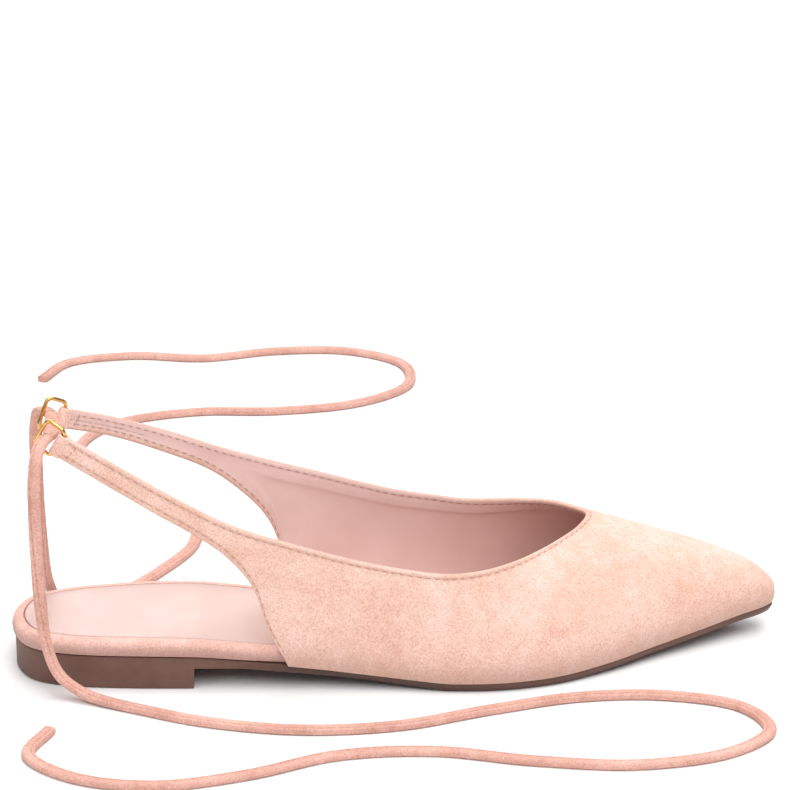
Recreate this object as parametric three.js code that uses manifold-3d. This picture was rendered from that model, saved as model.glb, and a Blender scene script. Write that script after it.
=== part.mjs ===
// A pointed slingback flat for the right foot: wrapped footbed on a unit sole with a low heel,
// a hollow upper whose quarters run back into two sling straps, and a long tie through their rings.
// Millimetres. X runs from the heel to the toe, Y from the outer to the inner side, Z up.

import * as THREE from "three";
import { mergeVertices } from "three/addons/utils/BufferGeometryUtils.js";
import Module from "manifold-3d";

const wasm = await Module();
wasm.setup();

// Driving sizes
const LENGTH = 270;
const BALL_WIDTH = 79;
const INSTEP_HEIGHT = 48.4;
const HEEL_HEIGHT = 12;
const SPRING_HEIGHT = 7;
const FOREPART_THICKNESS = 3;
const FIT_GAP = 0.3;
const UPPER_WALL = 1.8;
const SIDE_PULL = 12;
const UPPER_STEPS_ROUND = 4;
const UPPER_STEPS_UP = 9;

// The tables are drawn for this length and ball width; other sizes are graded from them
const DRAWN_LENGTH = 270;
const DRAWN_BALL_WIDTH = 79;
const GRADE_ALONG = LENGTH / DRAWN_LENGTH;
const GRADE_ACROSS = BALL_WIDTH / DRAWN_BALL_WIDTH;

// Rings at the strap ends and the tie through them
const FOLD_RADIUS = 1.9;
const FOLD_BORE = 1.15;
const FOLD_SETBACK = 1.4;
const FOLD_SIDES = 16;
const RING_WIRE = 0.7;
const RING_HALF_WIDTH = 5.6;
const RING_HALF_DEPTH = 3.8;
const RING_CORNER = 2;
const RING_CORNER_STEPS = 4;
const RING_WIRE_SIDES = 8;
const TIE_DIAMETER = 4;
const TIE_SIDES = 8;
const TIE_IN_RING = 4.4;
const TIE_PAST_RING = 4;
const TIE_END_STEPS = 38;
const TIE_BRIDGE_STEPS = 6;
const TIE_BRIDGE_SAG = 2;
const TIE_BRIDGE_BOW = 2.5;

// Sole and footbed
const BREAST_ALONG = 61;
const BREAST_DEPTH = 0.4;
const SOLE_EDGE_ROUND = 1.2;
const RAND_BULGE = 0.6;
const RAND_END = 88;
const RAND_FADE = 10;
const WALL_START = 80;
const WALL_INSET = 0.1;
const RIM_WIDTH = 4;
const RIM_NARROWS_FROM = 225;
const RIM_NARROWS_TO = 262;
const RIM_TOE_SHARE = 0.4;
const SOCK_THICKNESS = 0.9;
const OUTLINE_STEPS = 3;

// Outline of the footbed, heel to toe: place along the shoe, outer side and inner side
const OUTLINE = [
  { along: 0, outer: 0, inner: 0 },
  { along: 2.2, outer: -10.6, inner: 10.6 },
  { along: 8, outer: -18.2, inner: 18 },
  { along: 20, outer: -23.3, inner: 22.7 },
  { along: 38, outer: -26.6, inner: 25 },
  { along: 60, outer: -28.9, inner: 25.6 },
  { along: 84, outer: -30.6, inner: 24.4 },
  { along: 108, outer: -32, inner: 23.6 },
  { along: 130, outer: -34.6, inner: 25.6 },
  { along: 150, outer: -38.2, inner: 30 },
  { along: 168, outer: -38.9, inner: 34.2 },
  { along: 186, outer: -35.6, inner: 35.8 },
  { along: 204, outer: -28.4, inner: 33.4 },
  { along: 222, outer: -18.8, inner: 27.8 },
  { along: 240, outer: -10.2, inner: 20 },
  { along: 254, outer: -3.4, inner: 12.6 },
  { along: 263, outer: 0.4, inner: 7.6 },
  { along: 266.5, outer: 3.6, inner: 3.6 },
];

// Side view of the sole: its underside, its top, the footbed on it and how far its edge stands out
const PROFILE = [
  { along: 0, under: 7.2, top: HEEL_HEIGHT, board: 5.8, edge: -0.4 },
  { along: 40, under: 7.2, top: HEEL_HEIGHT, board: 5.8, edge: -0.4 },
  { along: 61, under: 7.2, top: 11.7, board: 5.7, edge: -0.4 },
  { along: 75, under: 7.2, top: 10.7, board: 5.4, edge: -0.2 },
  { along: 90, under: 6.3, top: 9.3, board: 5, edge: 0.8 },
  { along: 105, under: 5, top: 7.5, board: 4.4, edge: 1.4 },
  { along: 120, under: 3.3, top: 5.6, board: 3.8, edge: 1.4 },
  { along: 136, under: 1.2, top: 3.9, board: 3.3, edge: 1.4 },
  { along: 150, under: 0, top: FOREPART_THICKNESS, board: 3, edge: 1.4 },
  { along: 182, under: 0, top: FOREPART_THICKNESS, board: 3, edge: 1.4 },
  { along: 202, under: 0.9, top: 3.8, board: 3, edge: 1.4 },
  { along: 224, under: 2.5, top: 5.3, board: 3, edge: 1.4 },
  { along: 244, under: 4.5, top: 7.3, board: 3, edge: 1.4 },
  { along: 268, under: SPRING_HEIGHT, top: SPRING_HEIGHT + FOREPART_THICKNESS, board: 3, edge: 1.4 },
];

// Sections of the upper from the outer strap end round the toe to the inner strap end.
// low: lower edge, either a place in space or a place on the outline; top: the topline.
// rise and flare bend the wall at its lower edge, drop and spread bend it at the topline.
const UPPER = [
  { low: [16.6, -13.8, 81.3], top: [20.9, -16, 89.1], rise: 2.8, flare: 0.3, drop: 2.8, spread: 0.3 },
  { low: [32.1, -20.7, 73.5], top: [36.4, -22.2, 81.2], rise: 2.8, flare: 0.3, drop: 2.8, spread: 0.3 },
  { low: [49, -25.8, 64.1], top: [53.4, -26.9, 72], rise: 2.8, flare: 0.3, drop: 2.8, spread: 0.3 },
  { low: [62.4, -28.8, 56.7], top: [68.2, -29.8, 64.2], rise: 3, flare: 0.3, drop: 3, spread: 0.3 },
  { low: [73, -30.6, 49], top: [80.5, -31.5, 59], rise: 4, flare: 0.4, drop: 4, spread: 0.4 },
  { low: [81.8, -31.6, 37.6], top: [90, -32.2, 55.9], rise: 6.5, flare: 0.6, drop: 6.5, spread: 0.6 },
  { low: [87, -32.3, 21.5], top: [96.5, -32.7, 53.8], rise: 10, flare: 1, drop: 11, spread: 1 },
  { low: 6.39, top: [103.5, -33, 51.6], rise: 13, flare: 1.6, drop: 14, spread: 1.2 },
  { low: 7.4, top: [118.3, -33.8, 47.4], rise: 13, flare: 2, drop: 14, spread: 1.6 },
  { low: 8.5, top: [134, -34.6, 44], rise: 13, flare: 2.2, drop: 13, spread: 2.2 },
  { low: 9.5, top: [147, -35.4, 42.3], rise: 12, flare: 2.4, drop: 12, spread: 3 },
  { low: 10.5, top: [159, -35, 42.8], rise: 11.5, flare: 2.4, drop: 11, spread: 4.5 },
  { low: 11.5, top: [170, -31.2, 44], rise: 13, flare: 2.6, drop: 9, spread: 7 },
  { low: 12.6, top: [180, -24.2, 45.1], rise: 15, flare: 3, drop: 7.5, spread: 11 },
  { low: 13.9, top: [188.5, -16.4, 46.1], rise: 16, flare: 3.6, drop: 7.5, spread: 17 },
  { low: 15.4, top: [196, -8.4, 47.2], rise: 16, flare: 5, drop: 9, spread: 25 },
  { low: 17, top: [200.5, 0.5, INSTEP_HEIGHT], rise: 15.5, flare: 8, drop: 12.8, spread: 36 },
  { low: 18.6, top: [196.3, 8, 48.2], rise: 16, flare: 5, drop: 9.5, spread: 25 },
  { low: 20.1, top: [189, 15.8, 47.4], rise: 16, flare: 3.6, drop: 8, spread: 17 },
  { low: 21.4, top: [181, 22.6, 45.6], rise: 15, flare: 3, drop: 7.5, spread: 11 },
  { low: 22.5, top: [171.5, 28, 43.8], rise: 13, flare: 2.6, drop: 9, spread: 7 },
  { low: 23.5, top: [161, 31, 43.2], rise: 12, flare: 2.6, drop: 11, spread: 4.5 },
  { low: 24.5, top: [148, 31.6, 45.2], rise: 12.5, flare: 2.8, drop: 12, spread: 3 },
  { low: 25.5, top: [134.5, 31.1, 48], rise: 13.5, flare: 3.4, drop: 13, spread: 2.2 },
  { low: 26.5, top: [120, 30.7, 52.3], rise: 14, flare: 4, drop: 14, spread: 1.6 },
  { low: 27.29, top: [108, 30.5, 56], rise: 14, flare: 3.6, drop: 14, spread: 1.2 },
  { low: [95.3, 29.6, 26], top: [101, 30.5, 58], rise: 10, flare: 1, drop: 10, spread: 1 },
  { low: [90, 30.4, 38.6], top: [94, 30.5, 60], rise: 6.5, flare: 0.6, drop: 6.5, spread: 0.6 },
  { low: [81.5, 30.3, 48.5], top: [85.5, 30.3, 62.8], rise: 4, flare: 0.4, drop: 4, spread: 0.4 },
  { low: [69.5, 29.3, 58.2], top: [73.5, 29.8, 66.8], rise: 3, flare: 0.3, drop: 3, spread: 0.3 },
  { low: [53, 26.7, 66.6], top: [57, 27.3, 73.9], rise: 2.8, flare: 0.3, drop: 2.8, spread: 0.3 },
  { low: [35, 21.7, 75], top: [38.5, 22.8, 81.5], rise: 2.8, flare: 0.3, drop: 2.8, spread: 0.3 },
  { low: [18.5, 15, 81], top: [21.3, 16.4, 88], rise: 2.8, flare: 0.3, drop: 2.8, spread: 0.3 },
];

// Route of each tie end after its ring: down beside the heel, then in loose curves on the floor
const FLOOR_LIE = TIE_DIAMETER / 2 + 0.15;
const OUTER_TIE = [
  [11, -20.1, 86.2], [10, -22.8, 82.4], [9.4, -24.6, 76.5], [9.2, -25.6, 65], [9.4, -26, 48], [10, -26.4, 33],
  [11.4, -27.6, 19], [15.4, -30.2, 8.4], [24, -35, 3.4], [40, -44, FLOOR_LIE], [64, -57, FLOOR_LIE],
  [95, -66, FLOOR_LIE], [128, -66, FLOOR_LIE], [160, -57, FLOOR_LIE], [192, -50, FLOOR_LIE],
  [222, -52, FLOOR_LIE], [245, -63, FLOOR_LIE], [251, -81, FLOOR_LIE], [235, -96, FLOOR_LIE],
  [204, -102, FLOOR_LIE], [170, -96, FLOOR_LIE], [138, -86, FLOOR_LIE], [106, -86, FLOOR_LIE],
  [76, -97, FLOOR_LIE], [46, -102, FLOOR_LIE], [20, -94, FLOOR_LIE],
  [5, -76, FLOOR_LIE], [12, -58, FLOOR_LIE],
];
const INNER_TIE = [
  [11.2, 20.3, 85.7], [10.2, 23, 81.9], [9.6, 24.8, 76], [9.4, 25.8, 64.5], [9.6, 26.2, 48], [10.2, 26.6, 33],
  [11.6, 28, 19], [15.4, 31.6, 8.4], [23, 37.4, 3.4], [35, 49, FLOOR_LIE], [52, 70, FLOOR_LIE],
  [66, 96, FLOOR_LIE], [66, 124, FLOOR_LIE], [50, 150, FLOOR_LIE], [30, 174, FLOOR_LIE],
  [24, 202, FLOOR_LIE], [40, 226, FLOOR_LIE], [72, 236, FLOOR_LIE], [106, 234, FLOOR_LIE],
  [140, 240, FLOOR_LIE], [163, 259, FLOOR_LIE], [164, 286, FLOOR_LIE], [142, 305, FLOOR_LIE],
  [110, 308, FLOOR_LIE], [78, 302, FLOOR_LIE], [48, 308, FLOOR_LIE], [20, 302, FLOOR_LIE],
  [8, 282, FLOOR_LIE],
];

// Value of a list at any place between its entries, as a smooth curve through them
function smooth(values, place) {
  const row = Math.max(0, Math.min(Math.floor(place), values.length - 2));
  const t = place - row;
  const b = values[row];
  const c = values[row + 1];
  const a = values[row - 1] ?? 2 * b - c;
  const d = values[row + 2] ?? 2 * c - b;
  return b + 0.5 * t * (c - a + t * (2 * a - 5 * b + 4 * c - d + t * (3 * (b - c) + d - a)));
}

// Value of a profile column at a place along the shoe, level where its neighbours turn back
function profile(column, along) {
  const last = PROFILE.length - 1;
  const drawn = along / GRADE_ALONG;
  let row = 0;
  while (row < last - 1 && PROFILE[row + 1].along < drawn) {
    row += 1;
  }
  const run = (i) => PROFILE[i + 1].along - PROFILE[i].along;
  const slope = (i) => (PROFILE[i + 1][column] - PROFILE[i][column]) / run(i);
  const bend = (i) => {
    if (i === 0 || i === last) {
      return slope(Math.min(i, last - 1));
    }
    const before = slope(i - 1);
    const after = slope(i);
    return before * after > 0 ? (2 * before * after) / (before + after) : 0;
  };
  const t = Math.max(0, Math.min(1, (drawn - PROFILE[row].along) / run(row)));
  const rest = 1 - t;
  return PROFILE[row][column] * (1 + 2 * t) * rest * rest + PROFILE[row + 1][column] * (3 - 2 * t) * t * t
    + run(row) * t * rest * (bend(row) * rest - bend(row + 1) * t);
}

// The outline as one loop: heel, outer side, toe, inner side
const toeRow = OUTLINE.length - 1;
const innerRows = OUTLINE.slice(1, toeRow).reverse();
const loopAlong = [...OUTLINE, ...innerRows].map((row) => GRADE_ALONG * row.along);
const outerAcross = OUTLINE.map((row) => GRADE_ACROSS * row.outer);
const loopAcross = [...outerAcross, ...innerRows.map((row) => GRADE_ACROSS * row.inner)];
const loopRows = loopAlong.length;

function aroundLoop(values, place) {
  const wrapped = (place + loopRows) % loopRows;
  const row = Math.floor(wrapped);
  const near = [-1, 0, 1, 2].map((step) => values[(row + step + loopRows) % loopRows]);
  return smooth(near, 1 + wrapped - row);
}

// Point of the outline moved outward, in plan
function outlinePoint(place, outward) {
  const step = 0.02;
  const along = aroundLoop(loopAlong, place);
  const across = aroundLoop(loopAcross, place);
  const goAlong = aroundLoop(loopAlong, place + step) - aroundLoop(loopAlong, place - step);
  const goAcross = aroundLoop(loopAcross, place + step) - aroundLoop(loopAcross, place - step);
  const size = Math.hypot(goAlong, goAcross);
  return { along: along + (outward * goAcross) / size, across: across - (outward * goAlong) / size };
}

// Closed mesh from points and triangles
function meshFrom(points, triangles) {
  const geometry = new THREE.BufferGeometry();
  geometry.setAttribute("position", new THREE.Float32BufferAttribute(points.flat(), 3));
  geometry.setIndex(triangles.flat());
  return geometry;
}

// Places along the outline from the heel to the toe; both sides use the same ones
function outlinePlaces() {
  const places = [];
  for (let step = 0; step <= toeRow * OUTLINE_STEPS; step += 1) {
    places.push(step / OUTLINE_STEPS);
  }
  return places;
}

// A slab stacked from rings; each ring gives an outward step and a height at a place along the shoe
function slab(places, rings) {
  const points = [];
  const triangles = [];
  const count = places.length;
  const ringSize = 2 * count - 2;
  for (const ring of rings) {
    const loop = [...places, ...places.slice(1, count - 1).map((place) => loopRows - place).reverse()];
    loop.forEach((place, index) => {
      const station = index < count ? index : ringSize - index;
      const along = aroundLoop(loopAlong, places[station]);
      const spot = outlinePoint(place, ring.outward(along, station));
      points.push([spot.along, spot.across, ring.height(along, station)]);
    });
  }
  const at = (ring, index) => ring * ringSize + ((index + ringSize) % ringSize);
  for (let ring = 0; ring + 1 < rings.length; ring += 1) {
    for (let index = 0; index < ringSize; index += 1) {
      triangles.push([at(ring, index), at(ring, index + 1), at(ring + 1, index + 1)]);
      triangles.push([at(ring, index), at(ring + 1, index + 1), at(ring + 1, index)]);
    }
  }
  const top = rings.length - 1;
  for (let index = 0; index + 1 < count; index += 1) {
    const quad = [index, index + 1, -index - 1, -index];
    const corners = [[quad[0], quad[1], quad[2]], [quad[0], quad[2], quad[3]]];
    for (const [a, b, c] of corners) {
      const alike = new Set([at(0, a), at(0, b), at(0, c)]);
      if (alike.size === 3) {
        triangles.push([at(0, a), at(0, c), at(0, b)]);
        triangles.push([at(top, a), at(top, b), at(top, c)]);
      }
    }
  }
  return meshFrom(points, triangles);
}

// Outsole: one moulding with a low heel block that ends in an upright breast
function outsole() {
  const places = outlinePlaces();
  const breast = GRADE_ALONG * BREAST_ALONG;
  const breastPlace = places.findIndex((place) => aroundLoop(loopAlong, place) > breast - 2);
  const placeAt = (along) => {
    let place = 0;
    while (aroundLoop(loopAlong, place) < along) {
      place += 0.002;
    }
    return place;
  };
  places.splice(breastPlace, 1, placeAt(breast), placeAt(breast + BREAST_DEPTH));
  const under = (along, station) => (station <= breastPlace ? 0 : profile("under", along));
  const edge = (along) => profile("edge", along);
  const top = (along) => profile("top", along);
  const lip = 0.3 * SOLE_EDGE_ROUND;
  return slab(places, [
    { outward: (along) => edge(along) - SOLE_EDGE_ROUND, height: under },
    { outward: (along) => edge(along) - lip, height: (along, station) => under(along, station) + lip },
    { outward: edge, height: (along, station) => under(along, station) + SOLE_EDGE_ROUND },
    { outward: edge, height: (along) => top(along) - 0.5 * FIT_GAP },
    { outward: (along) => edge(along) - 0.5 * FIT_GAP, height: top },
  ]);
}

// How far the footbed's edge stands out; it draws in where the upper's wall covers it
function randBulge(along) {
  return RAND_BULGE * Math.max(0, Math.min(1, (RAND_END - along) / RAND_FADE));
}

// Share of the rim's width that is left at a place along the shoe; it narrows into the pointed toe
function rimShare(along) {
  const way = (along - RIM_NARROWS_FROM) / (RIM_NARROWS_TO - RIM_NARROWS_FROM);
  return 1 - (1 - RIM_TOE_SHARE) * Math.max(0, Math.min(1, way));
}

// Footbed: a board wrapped in suede, with a rounded rim round the recess for the sock
function footbed() {
  const foot = (along) => profile("top", along) + FIT_GAP;
  const layer = (inset, share, sink) => ({
    outward: (along) => randBulge(along) - inset * rimShare(along) - (along > WALL_START ? WALL_INSET : 0),
    height: (along) => foot(along) + share * profile("board", along) - sink,
  });
  return slab(outlinePlaces(), [
    layer(1.2, 0, 0),
    layer(0.1, 0.22, 0),
    layer(0, 0.5, 0),
    layer(0.5, 0.76, 0),
    layer(1.6, 0.93, 0),
    layer(2.9, 1, 0),
    layer(RIM_WIDTH, 1, 0.1),
    layer(RIM_WIDTH + 0.1, 1, SOCK_THICKNESS + FIT_GAP),
  ]);
}

// Sock: the thin smooth sheet that lies in the footbed's recess
function insole() {
  const seat = (along) => profile("top", along) + FIT_GAP + profile("board", along) - SOCK_THICKNESS;
  const layer = (inset, share) => ({
    outward: (along) => randBulge(along) - (RIM_WIDTH + inset) * rimShare(along) - FIT_GAP - WALL_INSET,
    height: (along) => seat(along) + share * SOCK_THICKNESS,
  });
  return slab(outlinePlaces(), [layer(0.1, 0), layer(0, 0.7), layer(0.4, 1)]);
}

// Lower edge of the upper: free edge of the sling, or the line where the wall meets the sole
const onSole = (row) => typeof row.low === "number";
const firstFeather = UPPER.findIndex(onSole);
const lastFeather = UPPER.findLastIndex(onSole);
const graded = (point) => [GRADE_ALONG * point[0], GRADE_ACROSS * point[1], point[2]];

function featherPoint(place) {
  const spot = outlinePoint(place, FIT_GAP + UPPER_WALL);
  return [spot.along, spot.across, profile("top", spot.along) + FIT_GAP];
}

function lowPoint(place) {
  if (place >= firstFeather && place <= lastFeather) {
    const rows = UPPER.slice(firstFeather, lastFeather + 1).map((row) => row.low);
    return featherPoint(smooth(rows, place - firstFeather));
  }
  const outer = place < firstFeather;
  const rows = outer ? UPPER.slice(0, firstFeather + 1) : UPPER.slice(lastFeather);
  const points = rows.map((row) => (onSole(row) ? featherPoint(row.low) : graded(row.low)));
  const from = outer ? place : place - lastFeather;
  return [0, 1, 2].map((axis) => smooth(points.map((point) => point[axis]), from));
}

function topPoint(place) {
  return [0, 1, 2].map((axis) => smooth(UPPER.map((row) => graded(row.top)[axis]), place));
}

// Outward direction in plan of an edge that runs from the outer side round the toe
function outwardOf(edge, place) {
  const before = edge(Math.max(0, place - 0.05));
  const after = edge(Math.min(UPPER.length - 1, place + 0.05));
  const size = Math.hypot(after[0] - before[0], after[1] - before[1]);
  return [(after[1] - before[1]) / size, (before[0] - after[0]) / size];
}

// Point of the upper's outside at a section and a height share from lower edge to topline
function upperPoint(place, share) {
  const low = lowPoint(place);
  const top = topPoint(place);
  const lowOut = outwardOf(lowPoint, place);
  const topSide = outwardOf(topPoint, place);
  const reach = [0, 1].map((axis) => low[axis] - top[axis] + SIDE_PULL * topSide[axis]);
  const topOut = reach.map((value) => value / Math.hypot(...reach));
  const shape = (name) => smooth(UPPER.map((row) => row[name]), place);
  const flare = shape("flare");
  const spread = shape("spread");
  const lowBend = [low[0] + flare * lowOut[0], low[1] + flare * lowOut[1], low[2] + shape("rise")];
  const topBend = [top[0] + spread * topOut[0], top[1] + spread * topOut[1], top[2] - shape("drop")];
  const rest = 1 - share;
  return low.map((value, axis) => value * rest ** 3 + 3 * lowBend[axis] * share * rest ** 2
    + 3 * topBend[axis] * share ** 2 * rest + top[axis] * share ** 3);
}

function upperInside(place, share) {
  const last = UPPER.length - 1;
  const tiny = 0.02;
  const a = new THREE.Vector3(...upperPoint(Math.min(last, place + tiny), share));
  const b = new THREE.Vector3(...upperPoint(Math.max(0, place - tiny), share));
  const c = new THREE.Vector3(...upperPoint(place, Math.min(1, share + tiny)));
  const d = new THREE.Vector3(...upperPoint(place, Math.max(0, share - tiny)));
  const inward = c.sub(d).cross(a.sub(b));
  if (share === 0) {
    inward.z = 0;
  }
  inward.normalize().multiplyScalar(UPPER_WALL);
  return new THREE.Vector3(...upperPoint(place, share)).add(inward).toArray();
}

// Upper: outside and inside sheets joined round every edge
function upper() {
  const across = UPPER_STEPS_UP + 1;
  const sections = (UPPER.length - 1) * UPPER_STEPS_ROUND + 1;
  const points = [];
  for (const face of [upperPoint, upperInside]) {
    for (let section = 0; section < sections; section += 1) {
      for (let level = 0; level < across; level += 1) {
        points.push(face(section / UPPER_STEPS_ROUND, level / UPPER_STEPS_UP));
      }
    }
  }
  const triangles = [];
  const outside = (section, level) => section * across + level;
  const inside = (section, level) => (sections + section) * across + level;
  const quad = (a, b, c, d) => triangles.push([a, b, c], [a, c, d]);
  for (let section = 0; section + 1 < sections; section += 1) {
    const next = section + 1;
    for (let level = 0; level < UPPER_STEPS_UP; level += 1) {
      const above = level + 1;
      quad(outside(section, level), outside(next, level), outside(next, above), outside(section, above));
      quad(inside(section, level), inside(section, above), inside(next, above), inside(next, level));
    }
    const top = UPPER_STEPS_UP;
    quad(outside(section, 0), inside(section, 0), inside(next, 0), outside(next, 0));
    quad(outside(section, top), outside(next, top), inside(next, top), inside(section, top));
  }
  const end = sections - 1;
  for (let level = 0; level < UPPER_STEPS_UP; level += 1) {
    const above = level + 1;
    quad(outside(0, level), outside(0, above), inside(0, above), inside(0, level));
    quad(outside(end, level), inside(end, level), inside(end, above), outside(end, above));
  }
  return meshFrom(points, triangles);
}

// End of a sling strap: its width, the directions along its end edge, back along the strap and out
// of the shoe, and the middle of the bar it folds round
function strapEnd(place) {
  const next = place === 0 ? 0.2 : place - 0.2;
  const middle = (at) => {
    const corners = [upperPoint(at, 0), upperPoint(at, 1), upperInside(at, 0), upperInside(at, 1)];
    const sum = new THREE.Vector3();
    corners.forEach((point) => sum.add(new THREE.Vector3(...point)));
    return sum.multiplyScalar(1 / corners.length);
  };
  const centre = middle(place);
  const edge = new THREE.Vector3(...upperPoint(place, 1)).sub(new THREE.Vector3(...upperPoint(place, 0)));
  const width = edge.length();
  edge.normalize();
  const back = centre.clone().sub(middle(next)).projectOnPlane(edge).normalize();
  const out = edge.clone().cross(back).multiplyScalar(place === 0 ? 1 : -1);
  const bar = centre.clone().addScaledVector(back, FOLD_SETBACK);
  return { width, edge, back, out, bar };
}

const outerEnd = strapEnd(0);
const innerEnd = strapEnd(UPPER.length - 1);

// Solid for joining and cutting, and its mesh again
function solidOf(geometry) {
  const bare = geometry.clone();
  bare.deleteAttribute("normal");
  bare.deleteAttribute("uv");
  const merged = mergeVertices(bare, 1e-4);
  const vertProperties = new Float32Array(merged.attributes.position.array);
  const triVerts = new Uint32Array(merged.index.array);
  return new wasm.Manifold(new wasm.Mesh({ numProp: 3, vertProperties, triVerts }));
}

function geometryOf(solid) {
  const mesh = solid.getMesh();
  const geometry = new THREE.BufferGeometry();
  geometry.setAttribute("position", new THREE.BufferAttribute(mesh.vertProperties, 3));
  geometry.setIndex(new THREE.BufferAttribute(mesh.triVerts, 1));
  return geometry;
}

// Round bar along a strap's end edge
function endBar(end, radius, length) {
  const bar = new THREE.CylinderGeometry(radius, radius, length, FOLD_SIDES);
  const turn = new THREE.Quaternion().setFromUnitVectors(new THREE.Vector3(0, 1, 0), end.edge);
  return bar.applyQuaternion(turn).translate(end.bar.x, end.bar.y, end.bar.z);
}

// The upper with each strap end folded round into a tunnel for its ring
function upperWithFolds() {
  let solid = solidOf(upper());
  for (const end of [outerEnd, innerEnd]) {
    const fold = solidOf(endBar(end, FOLD_RADIUS, 0.94 * end.width));
    const bore = solidOf(endBar(end, FOLD_BORE, 2 * end.width));
    solid = solid.add(fold).subtract(bore);
  }
  return geometryOf(solid);
}

// Rounded oblong ring of round wire whose front bar lies in the fold
function ring(end) {
  const middle = end.bar.clone().addScaledVector(end.back, RING_HALF_DEPTH);
  const centres = [];
  for (let corner = 0; corner < 4; corner += 1) {
    for (let step = 0; step <= RING_CORNER_STEPS; step += 1) {
      const angle = ((corner + step / RING_CORNER_STEPS) * Math.PI) / 2;
      const wide = (corner === 0 || corner === 3 ? 1 : -1) * (RING_HALF_WIDTH - RING_CORNER);
      const deep = (corner < 2 ? 1 : -1) * (RING_HALF_DEPTH - RING_CORNER);
      centres.push(middle.clone().addScaledVector(end.edge, wide + RING_CORNER * Math.cos(angle))
        .addScaledVector(end.back, deep + RING_CORNER * Math.sin(angle)));
    }
  }
  const across = end.edge.clone().cross(end.back);
  const points = [];
  const triangles = [];
  const count = centres.length;
  centres.forEach((centre, index) => {
    const ahead = centres[(index + 1) % count].clone().sub(centres[(index + count - 1) % count]).normalize();
    const outward = ahead.clone().cross(across);
    for (let side = 0; side < RING_WIRE_SIDES; side += 1) {
      const angle = (2 * Math.PI * side) / RING_WIRE_SIDES;
      points.push(centre.clone().addScaledVector(outward, RING_WIRE * Math.cos(angle))
        .addScaledVector(across, RING_WIRE * Math.sin(angle)).toArray());
      const a = index * RING_WIRE_SIDES + side;
      const b = index * RING_WIRE_SIDES + ((side + 1) % RING_WIRE_SIDES);
      const c = ((index + 1) % count) * RING_WIRE_SIDES + ((side + 1) % RING_WIRE_SIDES);
      const d = ((index + 1) % count) * RING_WIRE_SIDES + side;
      triangles.push([a, c, b], [a, d, c]);
    }
  });
  return meshFrom(points, triangles);
}

// Round tie along a route
function tie(route, steps) {
  const section = new THREE.Shape();
  for (let side = 0; side <= TIE_SIDES; side += 1) {
    const angle = (2 * Math.PI * side) / TIE_SIDES;
    const place = [(TIE_DIAMETER / 2) * Math.cos(angle), (TIE_DIAMETER / 2) * Math.sin(angle)];
    if (side === 0) {
      section.moveTo(...place);
    } else {
      section.lineTo(...place);
    }
  }
  const extrudePath = new THREE.CatmullRomCurve3(route.map((point) => new THREE.Vector3(...point)));
  return new THREE.ExtrudeGeometry(section, { steps, extrudePath, bevelEnabled: false });
}

// Place where the tie runs through a ring, stepped outward
function inRing(end, outward) {
  return end.bar.clone().addScaledVector(end.back, TIE_IN_RING).addScaledVector(end.out, outward).toArray();
}

function tieEnd(end, route) {
  return tie([inRing(end, FIT_GAP / 2), inRing(end, TIE_PAST_RING), ...route], TIE_END_STEPS);
}

function tieBridge() {
  const from = inRing(outerEnd, -FIT_GAP / 2);
  const to = inRing(innerEnd, -FIT_GAP / 2);
  const middle = from.map((value, axis) => (value + to[axis]) / 2);
  middle[0] += TIE_BRIDGE_BOW;
  middle[2] -= TIE_BRIDGE_SAG;
  return tie([from, inRing(outerEnd, -3), middle, inRing(innerEnd, -3), to], TIE_BRIDGE_STEPS);
}

const SUEDE = { color: 0xe6bfae, roughness: 0.95, metalness: 0 };
const SOCK = { color: 0xf3d3c9, roughness: 0.5, metalness: 0 };
const RUBBER = { color: 0x76564b, roughness: 0.6, metalness: 0 };
const GOLD = { color: 0xd9b36a, roughness: 0.25, metalness: 1 };

const shoe = new THREE.Group();
shoe.name = "slingback_flat";

function add(name, geometry, look) {
  const mesh = new THREE.Mesh(geometry, new THREE.MeshStandardMaterial(look));
  mesh.name = name;
  shoe.add(mesh);
}

add("outsole", outsole(), RUBBER);
add("footbed", footbed(), SUEDE);
add("insole", insole(), SOCK);
add("upper", upperWithFolds(), SUEDE);
add("ring_outer", ring(outerEnd), GOLD);
add("ring_inner", ring(innerEnd), GOLD);
add("tie_bridge", tieBridge(), SUEDE);

// The shoe stands with the middle of its footprint at the origin; the loose tie ends don't count
shoe.updateMatrixWorld(true);
const box = new THREE.Box3().setFromObject(shoe);
shoe.position.set(-(box.min.x + box.max.x) / 2, -(box.min.y + box.max.y) / 2, -box.min.z);

add("tie_outer", tieEnd(outerEnd, OUTER_TIE), SUEDE);
add("tie_inner", tieEnd(innerEnd, INNER_TIE), SUEDE);

export default shoe;
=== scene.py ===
"""A pointed suede slingback flat for the right foot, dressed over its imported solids."""

import math
from collections import namedtuple
from functools import lru_cache

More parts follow.
